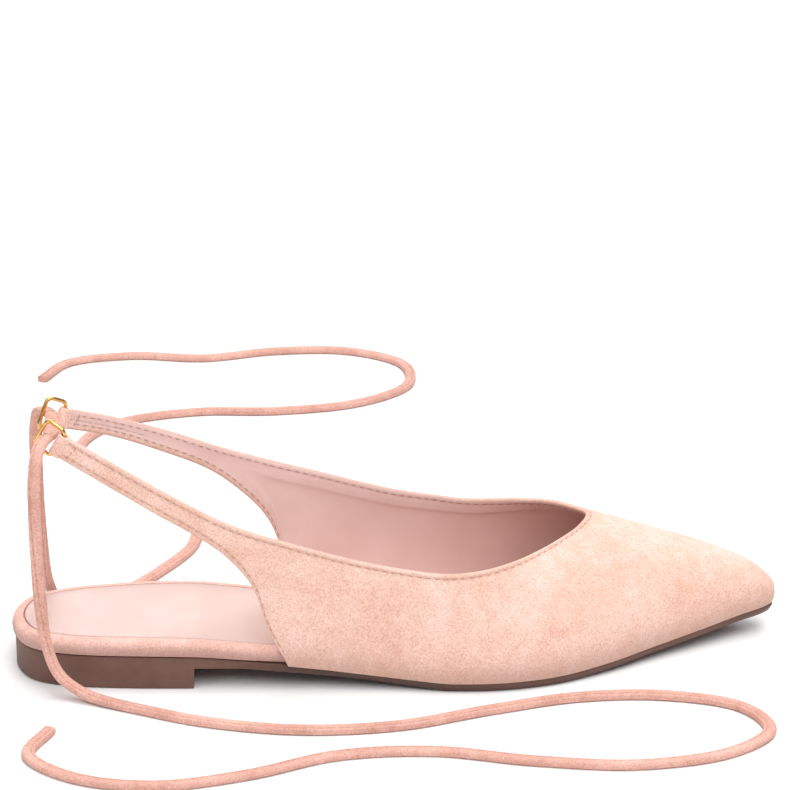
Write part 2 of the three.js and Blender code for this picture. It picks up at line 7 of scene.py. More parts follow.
import bpy
import numpy as np
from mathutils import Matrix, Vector


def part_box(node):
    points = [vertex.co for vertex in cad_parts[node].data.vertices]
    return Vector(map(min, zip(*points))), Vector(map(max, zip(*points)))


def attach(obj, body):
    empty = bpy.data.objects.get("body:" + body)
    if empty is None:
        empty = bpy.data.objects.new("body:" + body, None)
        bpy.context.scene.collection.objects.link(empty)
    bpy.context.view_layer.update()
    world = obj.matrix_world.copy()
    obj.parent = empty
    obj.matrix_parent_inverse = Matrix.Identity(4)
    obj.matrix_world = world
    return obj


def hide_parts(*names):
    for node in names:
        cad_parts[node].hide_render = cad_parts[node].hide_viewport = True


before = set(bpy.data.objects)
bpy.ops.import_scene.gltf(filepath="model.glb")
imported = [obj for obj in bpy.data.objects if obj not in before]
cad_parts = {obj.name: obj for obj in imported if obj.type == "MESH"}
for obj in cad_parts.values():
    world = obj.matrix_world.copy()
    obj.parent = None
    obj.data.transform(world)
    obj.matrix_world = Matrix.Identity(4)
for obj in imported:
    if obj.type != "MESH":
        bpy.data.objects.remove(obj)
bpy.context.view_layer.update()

MM = 0.001

# Sizes in millimetres, most of them as in the part's source
FIT_GAP = 0.3
UPPER_WALL = 1.8
SIDE_PULL = 12
BREAST_ALONG = 61
BREAST_DEPTH = 0.3
RAND_BULGE = 0.6
RAND_END = 88
RAND_FADE = 10
RIM_WIDTH = 4
RIM_NARROWS_FROM = 225
RIM_NARROWS_TO = 262
RIM_TOE_SHARE = 0.4
SOCK_THICKNESS = 0.9
SOLE_TUCK = 1.7
SOLE_WELT = 0.8
WELT_FADE = 30
WELT_LIFT = 0.25
FOLD_RADIUS = 1.9
FOLD_BORE = 1.1
FOLD_SETBACK = 1.4
FOLD_TURN = 118
FOLD_WIDTH_SHARE = 0.47
FOLD_OUTER_NECK = [(-2.7, 0.92), (-1.8, 1.1)]
FOLD_INNER_NECK = [(-1.3, 0.12), (-1.0, 0.45)]
RING_WIRE = 0.7
RING_HALF_WIDTH = 5.6
RING_HALF_DEPTH = 3.8
RING_CORNER = 2
TIE_IN_RING = 4.4
TIE_PAST_RING = 4
TIE_BRIDGE_BOW = 2.5
TIE_BRIDGE_SAG = 2
TIE_WIDTH = 4.5
TIE_THICKNESS = 2.6
BRIDGE_REACH = 3
FLOOR_CLEAR = 0.05
EDGE_CLEAR = 0.1

# How finely curves and lofts are cut
OUTLINE_STEPS = 600
STATION_STEPS = 8
UPPER_STEPS = 8
WALL_STEPS = 160
STITCH_LINE_STEPS = 6
FOLD_STEPS = 18
RING_STEPS = 64
RING_CORNER_STEPS = 12
TIE_CURVE_STEPS = 24
TIE_SPACING = 1.8
BRIDGE_SPACING = 1.2
STRAP_STEP = 0.2

# Sewing
STITCH_PITCH = 3.0
STITCH_LENGTH = 2.2
STITCH_WIDTH = 0.42
STITCH_HEIGHT = 0.34
STITCH_INSET = 1.9
LOW_STITCH_INSET = 2.4
STITCH_SINK = 0.2
STITCH_SLANT = 0.07
STITCH_UNEVEN = 0.1
SLANT_TURN = 7.3
UNEVEN_TURN = 4.1
ROW_START = 1.2
ROW_END = 1
TIE_ROW_START = 2.5
TIE_ROW_END = 2
END_ROW_BACK = 0.22
END_ROW_SHARES = (0.28, 0.5, 0.72)
END_ROW_LIFT = 0.02
TIE_SEAM_ACROSS = TIE_WIDTH / 2 - 1.3
TIE_SEAM_HEIGHT = 0.8 * TIE_THICKNESS / 2
TIE_SEAM_WIDTH = 0.35
TIE_STITCH_STAND = 0.3 * STITCH_HEIGHT - 0.1
GROOVE_DEPTH = 0.18
GROOVE_HALF_WIDTH = 0.7
GROOVE_NARROWNESS = 0.55
BEAD_HEIGHT = 0.14
BEAD_HALF_WIDTH = 0.55
EDGE_ROUND = 0.7

# Painted shade on the suede, the lining and the sole, and the darker turned edges of the suede
LASTED_PAINTED_SHADE = 0.85
LASTED_PAINTED_SHADE_HEIGHT = 6.5
TURNED_SHADE = 0.6
TURNED_SHADE_WIDTH = 1.6
TOPLINE_PAINTED_SHADE_SHARE = 0.6
TOP_EDGE_PAINTED_SHADE = 0.42
LOW_EDGE_SHADE = 0.8
SOLE_PAINTED_SHADE_ALONG = (70, 100, 140, 205)
SOLE_PAINTED_SHADE = (0, 0.75, 0.75, 0.12)
TOE_PAINTED_SHADE = 0.4
TOE_PAINTED_SHADE_FROM = 165
TOE_PAINTED_SHADE_RUN = 45

# The lining's hem over the turned-down suede
HEM_DEPTH = 6.8
HEM_SWELL = 0.7
HEM_SOFTNESS = 0.5
HEM_RISE_FROM = STITCH_INSET + 0.5
HEM_RISE_RUN = 3
HEM_LEAST_WALL = 14
HEM_FULL_RUN = 8
HEM_LEAST_ROOM = 0.3

# Camera, worked out from the photograph
PHOTO_ELEVATION = 20.5
PHOTO_TURN = 5.5
PHOTO_EYE = (31.8, -1052.8, 490.0)
PHOTO_LENS = 149.96
SENSOR = 36

# Soft lights in metres and watts, and the floor under them
Light = namedtuple("Light", "name place aim size power")
LIGHTS = [Light(*row) for row in (
    ("light_above", (0.3, -0.1, 1.5), (0, 0, 0.03), 1.4, 20),
    ("light_front", (0.05, -1.2, 1.35), (0, 0, 0.04), 1.1, 13),
    ("light_left", (-1.2, -0.7, 1.0), (-0.05, 0, 0.04), 1.0, 4),
    ("light_behind", (-0.5, 1.4, 1.1), (0, 0, 0.05), 1.2, 6),
    ("light_backdrop", (0, 2.4, 1.6), (0, 1.7, 0), 1.6, 26),
)]
AIR_LIGHT = 0.3
FLOOR_SIZE = 12

# Outline of the footbed, heel to toe
Outline = namedtuple("Outline", "along outer inner")
OUTLINE = [Outline(*row) for row in (
    (0, 0, 0),
    (2.2, -10.6, 10.6),
    (8, -18.2, 18),
    (20, -23.3, 22.7),
    (38, -26.6, 25),
    (60, -28.9, 25.6),
    (84, -30.6, 24.4),
    (108, -32, 23.6),
    (130, -34.6, 25.6),
    (150, -38.2, 30),
    (168, -38.9, 34.2),
    (186, -35.6, 35.8),
    (204, -28.4, 33.4),
    (222, -18.8, 27.8),
    (240, -10.2, 20),
    (254, -3.4, 12.6),
    (263, 0.4, 7.6),
    (266.5, 3.6, 3.6),
)]

# Side view of the sole: underside, top, the board on it and how far the edge stands out
Profile = namedtuple("Profile", "along under top board edge")
PROFILE = [Profile(*row) for row in (
    (0, 7.2, 12, 5.8, -0.4),
    (40, 7.2, 12, 5.8, -0.4),
    (61, 7.2, 11.7, 5.7, -0.4),
    (75, 7.2, 10.7, 5.4, -0.2),
    (90, 6.3, 9.3, 5, 0.8),
    (105, 5, 7.5, 4.4, 1.4),
    (120, 3.3, 5.6, 3.8, 1.4),
    (136, 1.2, 3.9, 3.3, 1.4),
    (150, 0, 3, 3, 1.4),
    (182, 0, 3, 3, 1.4),
    (202, 0.9, 3.8, 3, 1.4),
    (224, 2.5, 5.3, 3, 1.4),
    (244, 4.5, 7.3, 3, 1.4),
    (268, 7, 10, 3, 1.4),
)]

# Sections of the upper from the outer strap end round the toe to the inner strap end
Section = namedtuple("Section", "low top rise flare drop spread")
UPPER = [Section(*row) for row in (
    ((16.6, -13.8, 81.3), (20.9, -16, 89.1), 2.8, 0.3, 2.8, 0.3),
    ((32.1, -20.7, 73.5), (36.4, -22.2, 81.2), 2.8, 0.3, 2.8, 0.3),
    ((49, -25.8, 64.1), (53.4, -26.9, 72), 2.8, 0.3, 2.8, 0.3),
    ((62.4, -28.8, 56.7), (68.2, -29.8, 64.2), 3, 0.3, 3, 0.3),
    ((73, -30.6, 49), (80.5, -31.5, 59), 4, 0.4, 4, 0.4),
    ((81.8, -31.6, 37.6), (90, -32.2, 55.9), 6.5, 0.6, 6.5, 0.6),
    ((87, -32.3, 21.5), (96.5, -32.7, 53.8), 10, 1, 11, 1),
    (6.39, (103.5, -33, 51.6), 13, 1.6, 14, 1.2),
    (7.4, (118.3, -33.8, 47.4), 13, 2, 14, 1.6),
    (8.5, (134, -34.6, 44), 13, 2.2, 13, 2.2),
    (9.5, (147, -35.4, 42.3), 12, 2.4, 12, 3),
    (10.5, (159, -35, 42.8), 11.5, 2.4, 11, 4.5),
    (11.5, (170, -31.2, 44), 13, 2.6, 9, 7),
    (12.6, (180, -24.2, 45.1), 15, 3, 7.5, 11),
    (13.9, (188.5, -16.4, 46.1), 16, 3.6, 7.5, 17),
    (15.4, (196, -8.4, 47.2), 16, 5, 9, 25),
    (17, (200.5, 0.5, 48.4), 15.5, 8, 12.8, 36),
    (18.6, (196.3, 8, 48.2), 16, 5, 9.5, 25),
    (20.1, (189, 15.8, 47.4), 16, 3.6, 8, 17),
    (21.4, (181, 22.6, 45.6), 15, 3, 7.5, 11),
    (22.5, (171.5, 28, 43.8), 13, 2.6, 9, 7),
    (23.5, (161, 31, 43.2), 12, 2.6, 11, 4.5),
    (24.5, (148, 31.6, 45.2), 12.5, 2.8, 12, 3),
    (25.5, (134.5, 31.1, 48), 13.5, 3.4, 13, 2.2),
    (26.5, (120, 30.7, 52.3), 14, 4, 14, 1.6),
    (27.29, (108, 30.5, 56), 14, 3.6, 14, 1.2),
    ((95.3, 29.6, 26), (101, 30.5, 58), 10, 1, 10, 1),
    ((90, 30.4, 38.6), (94, 30.5, 60), 6.5, 0.6, 6.5, 0.6),
    ((81.5, 30.3, 48.5), (85.5, 30.3, 62.8), 4, 0.4, 4, 0.4),
    ((69.5, 29.3, 58.2), (73.5, 29.8, 66.8), 3, 0.3, 3, 0.3),
    ((53, 26.7, 66.6), (57, 27.3, 73.9), 2.8, 0.3, 2.8, 0.3),
    ((35, 21.7, 75), (38.5, 22.8, 81.5), 2.8, 0.3, 2.8, 0.3),
    ((18.5, 15, 81), (21.3, 16.4, 88), 2.8, 0.3, 2.8, 0.3),
)]

# Soft hollows and swells of the worn-in suede: section, height share, their reach and the depth
Dent = namedtuple("Dent", "place share reach_place reach_share depth")
DENTS = [Dent(*row) for row in (
    (11.6, 0.62, 1.1, 0.16, 0.5),
    (13.6, 0.42, 1.3, 0.14, -0.4),
    (9.4, 0.5, 1.0, 0.22, 0.4),
    (15.6, 0.7, 0.9, 0.12, 0.35),
    (21.2, 0.6, 1.1, 0.16, 0.5),
    (24.0, 0.5, 1.0, 0.2, 0.4),
)]

# Route of each tie end after its ring: down beside the heel, then in loose curves on the floor
FLOOR_LIE = TIE_THICKNESS / 2 + 0.1


def on_floor(*places):
    return [(along, across, FLOOR_LIE) for along, across in places]


OUTER_TIE = [
    (11, -20.1, 86.2), (10, -22.8, 82.4), (9.4, -24.6, 76.5), (9.2, -25.6, 65), (9.4, -26, 48),
    (10, -26.4, 33), (11.4, -27.6, 19), (15.4, -30.2, 8.4), (24, -35, 3),
    *on_floor((40, -44), (64, -57), (95, -66), (128, -66), (160, -57), (192, -50), (222, -52),
              (245, -63), (251, -81), (235, -96), (204, -102), (170, -96), (138, -86), (106, -86),
              (76, -97), (46, -102), (20, -94), (5, -76), (12, -58)),
]
OUTER_LANDING = (0.87, -0.5)
INNER_TIE = [
    (11.2, 20.3, 85.7), (10.2, 23, 81.9), (9.6, 24.8, 76), (9.4, 25.8, 64.5), (9.6, 26.2, 48),
    (10.2, 26.6, 33), (11.6, 28, 19), (15.4, 31.6, 8.4), (23, 37.4, 3),
    *on_floor((35, 49), (52, 70), (66, 96), (66, 124), (50, 150), (30, 174), (24, 202), (40, 226),
              (72, 236), (106, 234), (140, 240), (163, 259), (164, 286), (142, 305), (110, 308),
              (78, 302), (48, 308), (20, 302), (8, 282)),
]
INNER_LANDING = (0.72, 0.7)


# Curves through table rows

def fraction(value):
    return max(0, min(1, value))


def bell(distance, width):
    """1 at no distance, fading on both sides."""
    return np.exp(-(distance / width) ** 2)


def unit(vector):
    return vector / np.linalg.norm(vector)


def step_lengths(points):
    return np.linalg.norm(np.diff(points, axis=0), axis=1)


def running(lengths):
    return np.concatenate([[0], np.cumsum(lengths)])


def between(wanted, at, points):
    """Points read off at wanted distances from points known at others."""
    return np.stack([np.interp(wanted, at, points[:, axis]) for axis in range(3)], -1)


def smooth(values, place):
    """Value of a list at any place between its entries."""
    row = max(0, min(int(math.floor(place)), len(values) - 2))
    t = place - row
    b, c = values[row], values[row + 1]
    a = values[row - 1] if row > 0 else 2 * b - c
    d = values[row + 2] if row + 2 < len(values) else 2 * c - b
    return b + 0.5 * t * (c - a + t * (2 * a - 5 * b + 4 * c - d + t * (3 * (b - c) + d - a)))


def profile(column, along):
    """Value of a profile column at a place along the shoe, level where its neighbours turn back."""
    last = len(PROFILE) - 1
    row = 0
    while row < last - 1 and PROFILE[row + 1].along < along:
        row += 1

    def run(i):
        return PROFILE[i + 1].along - PROFILE[i].along

    def slope(i):
        return (getattr(PROFILE[i + 1], column) - getattr(PROFILE[i], column)) / run(i)

    def bend(i):
        if i in (0, last):
            return slope(min(i, last - 1))
        before, after = slope(i - 1), slope(i)
        return 2 * before * after / (before + after) if before * after > 0 else 0

    t = fraction((along - PROFILE[row].along) / run(row))
    rest = 1 - t
    start, stop = getattr(PROFILE[row], column), getattr(PROFILE[row + 1], column)
    level = start * (1 + 2 * t) * rest * rest + stop * (3 - 2 * t) * t * t
    return level + run(row) * t * rest * (bend(row) * rest - bend(row + 1) * t)


TOE_ROW = len(OUTLINE) - 1
INNER_ROWS = OUTLINE[1:TOE_ROW][::-1]
LOOP_ALONG = [row.along for row in OUTLINE + INNER_ROWS]
LOOP_ACROSS = [row.outer for row in OUTLINE] + [row.inner for row in INNER_ROWS]
LOOP_ROWS = len(LOOP_ALONG)


def around_loop(values, place):
    wrapped = (place + LOOP_ROWS) % LOOP_ROWS
    row = int(math.floor(wrapped))
    near = [values[(row + step) % LOOP_ROWS] for step in (-1, 0, 1, 2)]
    return smooth(near, 1 + wrapped - row)


def outline_point(place, outward):
    """Point of the outline moved outward, in plan."""
    step = 0.02
    go_along = around_loop(LOOP_ALONG, place + step) - around_loop(LOOP_ALONG, place - step)
    go_across = around_loop(LOOP_ACROSS, place + step) - around_loop(LOOP_ACROSS, place - step)
    size = math.hypot(go_along, go_across)
    along = around_loop(LOOP_ALONG, place) + outward * go_across / size
    across = around_loop(LOOP_ACROSS, place) - outward * go_along / size
    return along, across


def frame_shift():
    """Step from the tables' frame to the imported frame, read off the sole's box."""
    low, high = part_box("outsole")
    places = np.linspace(0, LOOP_ROWS, OUTLINE_STEPS, endpoint=False)
    edges = [profile("edge", around_loop(LOOP_ALONG, place)) for place in places]
    spots = np.array([outline_point(place, edge) for place, edge in zip(places, edges)])
    middle = (spots[:, 1].min() + spots[:, 1].max()) / 2
    return np.array([low.x / MM - spots[:, 0].min(), (low.y + high.y) / 2 / MM - middle, 0])


SHIFT = frame_shift()


def metres(points):
    """Table millimetres as packed-frame metres."""
    return (np.asarray(points, float) + SHIFT) * MM


# The upper's wall

def on_sole(row):
    return not isinstance(row.low, tuple)


FIRST_FEATHER = next(i for i, row in enumerate(UPPER) if on_sole(row))
LAST_FEATHER = max(i for i, row in enumerate(UPPER) if on_sole(row))
LAST_PLACE = len(UPPER) - 1


def feather_point(place):
    along, across = outline_point(place, FIT_GAP + UPPER_WALL)
    return np.array([along, across, profile("top", along) + FIT_GAP])


def low_point(place):
    if FIRST_FEATHER <= place <= LAST_FEATHER:
        rows = [row.low for row in UPPER[FIRST_FEATHER:LAST_FEATHER + 1]]
        return feather_point(smooth(rows, place - FIRST_FEATHER))
    outer = place < FIRST_FEATHER
    rows = UPPER[:FIRST_FEATHER + 1] if outer else UPPER[LAST_FEATHER:]
    points = [feather_point(row.low) if on_sole(row) else np.array(row.low, float) for row in rows]
    return smooth(points, place if outer else place - LAST_FEATHER)


def top_point(place):
    return smooth([np.array(row.top, float) for row in UPPER], place)


def outward_of(edge, place):
    tiny = 0.05
    before = edge(max(0, place - tiny))
    after = edge(min(LAST_PLACE, place + tiny))
    size = math.hypot(after[0] - before[0], after[1] - before[1])
    return np.array([(after[1] - before[1]) / size, (before[0] - after[0]) / size])


@lru_cache(maxsize=None)
def wall_curve(place):
    """The four control points of the wall's curve from lower edge to topline."""
    low, top = low_point(place), top_point(place)
    reach = low[:2] - top[:2] + SIDE_PULL * outward_of(top_point, place)
    top_out = reach / math.hypot(*reach)
    low_out = outward_of(low_point, place)
    rise, flare, drop, spread = smooth([np.array(row[2:], float) for row in UPPER], place)
    low_bend = low + [flare * low_out[0], flare * low_out[1], rise]
    top_bend = top + [spread * top_out[0], spread * top_out[1], -drop]
    return np.array([low, low_bend, top_bend, top])


def bernstein(share):
    share = np.asarray(share, float)
    rest = 1 - share
    return np.stack([rest ** 3, 3 * share * rest ** 2, 3 * share ** 2 * rest, share ** 3], -1)


def outside(place, share):
    return bernstein(share) @ wall_curve(place)


def outside_normal(place, share):
    """Outward direction of the wall; level at the lower edge, as the wall stands on the sole."""
    tiny = 0.02
    up = outside(place, min(1, share + tiny)) - outside(place, max(0, share - tiny))
    ahead = outside(min(LAST_PLACE, place + tiny), share) - outside(max(0, place - tiny), share)
    normal = np.cross(ahead, up)
    if share == 0:
        normal[2] = 0
    return normal / np.linalg.norm(normal)


# Building with Blender's own tools

def select_only(piece):
    bpy.ops.object.select_all(action="DESELECT")
    piece.select_set(True)
    bpy.context.view_layer.objects.active = piece


def new_piece(name):
    """The primitive that was added last, under its piece's name."""
    piece = bpy.context.object
    piece.name = name
    piece.data.name = name
    return piece


def place_vertices(piece, points):
    piece.data.vertices.foreach_set("co", np.asarray(points, float).ravel())
    piece.data.update()


def vertex_array(piece):
    flat = np.empty(len(piece.data.vertices) * 3)
    piece.data.vertices.foreach_get("co", flat)
    return flat.reshape(-1, 3)


def close_up(piece, angle=40, merge=1e-6):
    """Merge seams and poles, turn faces outward and smooth all but sharp edges."""
    select_only(piece)
    bpy.ops.object.mode_set(mode="EDIT")
    bpy.ops.mesh.select_all(action="SELECT")
    bpy.ops.mesh.remove_doubles(threshold=merge)
    bpy.ops.mesh.normals_make_consistent(inside=False)
    bpy.ops.object.mode_set(mode="OBJECT")
    bpy.ops.object.shade_smooth_by_angle(angle=math.radians(angle))


def fill_ends(piece):
    """Close the open loops at the ends of a swept form."""
    select_only(piece)
    bpy.ops.object.mode_set(mode="EDIT")
    bpy.ops.mesh.select_mode(type="EDGE")
    bpy.ops.mesh.select_all(action="DESELECT")
    bpy.ops.mesh.select_non_manifold(extend=False, use_wire=False, use_multi_face=False,
                                     use_non_contiguous=False, use_verts=False)
    bpy.ops.mesh.fill()
    bpy.ops.mesh.select_mode(type="VERT")
    bpy.ops.object.mode_set(mode="OBJECT")


def grid_sheet(name, points):
    """A grid primitive whose rows and columns are laid on an array of points, in metres."""
    points = np.asarray(points, float)
    rows, columns = points.shape[:2]
    bpy.ops.object.select_all(action="DESELECT")
    bpy.ops.mesh.primitive_grid_add(x_subdivisions=columns - 1, y_subdivisions=rows - 1, size=2)
    piece = new_piece(name)
    flat = vertex_array(piece)
    column = np.rint((flat[:, 0] + 1) / 2 * (columns - 1)).astype(int)
    row = np.rint((flat[:, 1] + 1) / 2 * (rows - 1)).astype(int)
    place_vertices(piece, points[row, column])
    return piece, row, column


def face_middles(piece, values):
    """Middle of a vertex value, such as the column, over each face of a grid sheet."""
    corners = np.empty(len(piece.data.loops), int)
    piece.data.loops.foreach_get("vertex_index", corners)
    return values[corners].reshape(-1, 4).mean(1)


def vertex_marks(piece, name, values):
    mark = piece.data.attributes.new(name, "FLOAT", "POINT")
    mark.data.foreach_set("value", np.asarray(values, float))


def dress(piece, body_slot, *materials, replaces=()):
    for material in materials:
        piece.data.materials.append(material)
    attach(piece, "root")
    if replaces:
        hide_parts(*replaces)
    return piece


# Materials

class Look:
    """A material's node tree with short names for the nodes that it uses."""

    def __init__(self, name):
        self.material = bpy.data.materials.new(name)
        self.material.use_nodes = True
        self.tree = self.material.node_tree
        self.shader = self.tree.nodes["Principled BSDF"]
        self.place = self.add("TexCoord").outputs["Object"]

    def plug(self, socket, value):
        """Give a socket another node's output, or else a number or a colour."""
        if isinstance(value, bpy.types.NodeSocket):
            self.tree.links.new(value, socket)
        else:
            socket.default_value = value

    def feed(self, node, **values):
        for name, value in values.items():
            self.plug(node.inputs[name.replace("_", " ")], value)

    def add(self, kind, **values):
        node = self.tree.nodes.new("ShaderNode" + kind)
        self.feed(node, **values)
        return node

    def set(self, **values):
        self.feed(self.shader, **values)

    def stretch(self, scale, turn=(0, 0, 0)):
        return self.add("Mapping", Scale=scale, Rotation=turn, Vector=self.place).outputs["Vector"]

    def noise(self, size_mm, detail=2.0, roughness=0.5, vector=None, distortion=0.0):
        node = self.add("TexNoise", Scale=1 / (size_mm * MM), Detail=detail, Roughness=roughness,
                        Distortion=distortion, Vector=vector or self.place)
        return node.outputs["Fac"]

    def cells(self, size_mm):
        return self.add("TexVoronoi", Scale=1 / (size_mm * MM), Vector=self.place).outputs["Distance"]

    def spread(self, value, low, high, start=0.0, stop=1.0):
        node = self.add("MapRange", Value=value, From_Min=low, From_Max=high, To_Min=start, To_Max=stop)
        return node.outputs["Result"]

    def reckon(self, operation, *values):
        node = self.add("Math")
        node.operation = operation
        for socket, value in zip(node.inputs, values):
            self.plug(socket, value)
        return node.outputs["Value"]

    def sum(self, *parts):
        """Weighted sum of (value, weight) pairs."""
        total = 0
        for value, weight in parts:
            total = self.reckon("MULTIPLY_ADD", value, weight, total)
        return total

    def product(self, first, second):
        return self.reckon("MULTIPLY", first, second)

    def mix(self, share, first, second, blend="MIX"):
        node = self.add("Mix")
        node.data_type = "RGBA"
        node.blend_type = blend
        self.feed(node, Factor=share)
        for socket, colour in ((node.inputs[6], first), (node.inputs[7], second)):
            self.plug(socket, (*colour, 1) if isinstance(colour, tuple) else colour)
        return node.outputs[2]

    def mark(self, name):
        node = self.add("Attribute")
        node.attribute_name = name
        return node.outputs["Fac"]

    def bump(self, height, depth_mm, strength=1.0, under=None):
        node = self.add("Bump", Strength=strength, Distance=depth_mm * MM, Height=height)
        if under is not None:
            self.feed(node, Normal=under)
        self.set(Normal=node.outputs["Normal"])
        return node.outputs["Normal"]


def linear(red, green, blue):
    """A colour read as 0 to 255 in the picture, as the shader takes it."""
    def one(value):
        value /= 255
        return value / 12.92 if value <= 0.04045 else ((value + 0.055) / 1.055) ** 2.4
    return one(red), one(green), one(blue)


def suede(name, light, deep):
    """Napped suede: brushed patches, short mottles and a fine speckled nap, darkened by the shade mark
    (painted shade, and the darker turned edges) and by painted shade in the stitch grooves.
    """
    look = Look(name)
    patches = look.noise(26, detail=3, roughness=0.55, distortion=0.4)
    mottles = look.noise(4.5, detail=3, roughness=0.6)
    nap = look.noise(0.62, detail=2, roughness=0.8)
    tone = look.sum((patches, 0.6), (mottles, 0.4))
    colour = look.mix(look.spread(tone, 0.38, 0.62), deep, light)
    speckle = look.mix(look.spread(nap, 0.28, 0.72), (0.78, 0.69, 0.62), (1.18, 1.22, 1.24))
    colour = look.mix(1.0, colour, speckle, blend="MULTIPLY")
    # The shade mark darkens toward this tone: painted shade on most parts, the darker turned edge tone on
    # the straps' free edges.
    shadow = tuple(0.55 * value for value in deep)
    colour = look.mix(look.spread(look.mark("shade"), 0, 1, 0, 0.62), colour, shadow)
    # Painted shade in the grooves that the stitching pulls in, from the seam mark.
    look.set(Base_Color=look.mix(look.spread(look.mark("seam"), 0, 1, 0, 0.28), colour, shadow))
    look.set(Roughness=look.spread(mottles, 0.3, 0.7, 0.86, 0.98))
    fine = look.bump(nap, 0.35, strength=0.6)
    look.bump(mottles, 0.5, strength=0.25, under=fine)
    look.set(Sheen_Weight=0.15, Sheen_Roughness=0.45, Sheen_Tint=(1.0, 0.8, 0.73, 1))
    look.set(Specular_IOR_Level=0.15)
    return look.material


def smooth_lining():
    """Coated lining: even colour, faint grain, soft creases, a dull gloss and painted shade toward the toe.
    """
    look = Look("lining_coated")
    cloudy = look.noise(18, detail=2)
    grain = look.cells(0.55)
    ripple = look.noise(5, detail=2, vector=look.stretch((0.35, 1, 1), (0, 0, 0.5)))
    colour = look.mix(look.spread(cloudy, 0.3, 0.7), linear(222, 187, 179), linear(230, 197, 190))
    # Painted shade toward the toe, from the shade mark.
    look.set(Base_Color=look.mix(look.mark("shade"), colour, linear(150, 92, 74)))
    look.set(Roughness=look.spread(cloudy, 0.3, 0.7, 0.28, 0.38))
    fine = look.bump(grain, 0.06, strength=0.35)
    soft = look.bump(ripple, 0.5, strength=0.18, under=fine)
    pucker = look.noise(2.4, detail=1)
    look.bump(look.product(pucker, look.mark("seam")), 0.7, strength=0.7, under=soft)
    look.set(Specular_IOR_Level=0.5)
    return look.material


def sock_sheet():
    """Smooth pale sock with a close grain and a slight pressed ripple."""
    look = Look("sock_smooth")
    cloudy = look.noise(30, detail=2)
    grain = look.cells(0.7)
    press = look.noise(9, detail=2)
    colour = look.mix(look.spread(cloudy, 0.3, 0.7), linear(198, 167, 159), linear(206, 176, 168))
    look.set(Base_Color=colour)
    look.set(Roughness=look.spread(press, 0.3, 0.7, 0.4, 0.5))
    fine = look.bump(grain, 0.05, strength=0.3)
    look.bump(press, 0.3, strength=0.15, under=fine)
    look.set(Specular_IOR_Level=0.4)
    return look.material


def moulded_sole():
    """Brown moulded sole: satin skin with a fine cast grain, scuffed spots and painted shade along the
    forepart's edge.
    """
    look = Look("sole_moulded")
    cloudy = look.noise(16, detail=3)
    cast = look.noise(0.5, detail=2, roughness=0.6)
    scuff = look.noise(3, detail=4, roughness=0.7)
    tone = look.sum((cloudy, 0.6), (scuff, 0.4))
    colour = look.mix(look.spread(tone, 0.35, 0.65), linear(104, 74, 64), linear(119, 87, 76))
    # Painted shade on the forepart's edge, from the shade mark.
    look.set(Base_Color=look.mix(look.mark("shade"), colour, linear(66, 46, 41)))
    look.set(Roughness=look.spread(scuff, 0.3, 0.7, 0.5, 0.66))
    look.bump(cast, 0.1, strength=0.35)
    look.set(Specular_IOR_Level=0.35)
    return look.material


def gold_wire():
    """Polished gold-tone wire with fine draw marks."""
    look = Look("ring_gold")
    draw = look.noise(0.25, detail=2, vector=look.stretch((1, 1, 0.15)))
    rub = look.noise(2.5, detail=3)
    look.set(Base_Color=look.mix(look.spread(rub, 0.3, 0.7), linear(214, 160, 84), linear(238, 194, 120)))
    look.set(Roughness=look.spread(rub, 0.3, 0.7, 0.16, 0.3))
    look.bump(draw, 0.02, strength=0.2)
    look.set(Metallic=1.0)
    return look.material


def sewing_thread(name, light, deep):
    """Twisted thread: slanted plies and a slight fuzz."""
    look = Look(name)
    plies = look.noise(0.35, detail=1, vector=look.stretch((1, 2.2, 1), (0.4, 0.6, 0.8)))
    fuzz = look.noise(0.12, detail=2)
    look.set(Base_Color=look.mix(look.spread(plies, 0.3, 0.7), deep, light))
    look.set(Roughness=look.spread(fuzz, 0.3, 0.7, 0.6, 0.8))
    look.bump(plies, 0.12, strength=0.6)
    look.set(Sheen_Weight=0.2)
    return look.material


def pale_floor():
    look = Look("floor_pale")
    soft = look.noise(400, detail=1)
    look.set(Base_Color=look.mix(look.spread(soft, 0.3, 0.7), (0.86, 0.86, 0.86), (0.88, 0.88, 0.88)))
    look.set(Roughness=0.9, Specular_IOR_Level=0.1)
    return look.material


UPPER_SUEDE = suede("suede_upper", linear(242, 208, 197), linear(230, 187, 170))
FOOTBED_SUEDE = suede("suede_footbed", linear(236, 196, 186), linear(220, 176, 165))
TIE_SUEDE = suede("suede_tie", linear(226, 180, 168), linear(206, 156, 143))
LINING = smooth_lining()
SOCK = sock_sheet()
SOLE = moulded_sole()
GOLD = gold_wire()
UPPER_THREAD = sewing_thread("thread_upper", linear(212, 158, 138), linear(182, 128, 108))
LINING_THREAD = sewing_thread("thread_lining", linear(190, 150, 134), linear(162, 120, 104))
TIE_THREAD = sewing_thread("thread_tie", linear(200, 142, 124), linear(168, 110, 94))


# Camera at the photograph's angle, floor and soft studio light

def photo_camera():
    lift, turn = math.radians(PHOTO_ELEVATION), math.radians(PHOTO_TURN)
    ahead = Vector((math.sin(turn) * math.cos(lift), math.cos(turn) * math.cos(lift), -math.sin(lift)))
    data = bpy.data.cameras.new("photo_camera")
    data.lens = PHOTO_LENS
    data.sensor_width = SENSOR
    camera = bpy.data.objects.new("photo_camera", data)
    bpy.context.scene.collection.objects.link(camera)
    camera.location = metres(PHOTO_EYE)
    camera.rotation_mode = "QUATERNION"
    camera.rotation_quaternion = ahead.to_track_quat("-Z", "Y")
    bpy.context.scene.camera = camera


def soft_light(light):
    data = bpy.data.lights.new(light.name, "AREA")
    data.shape = "DISK"
    data.size = light.size
    data.energy = light.power
    lamp = bpy.data.objects.new(light.name, data)
    bpy.context.scene.collection.objects.link(lamp)
    lamp.location = light.place
    lamp.rotation_euler = (Vector(light.aim) - Vector(light.place)).to_track_quat("-Z", "Y").to_euler()


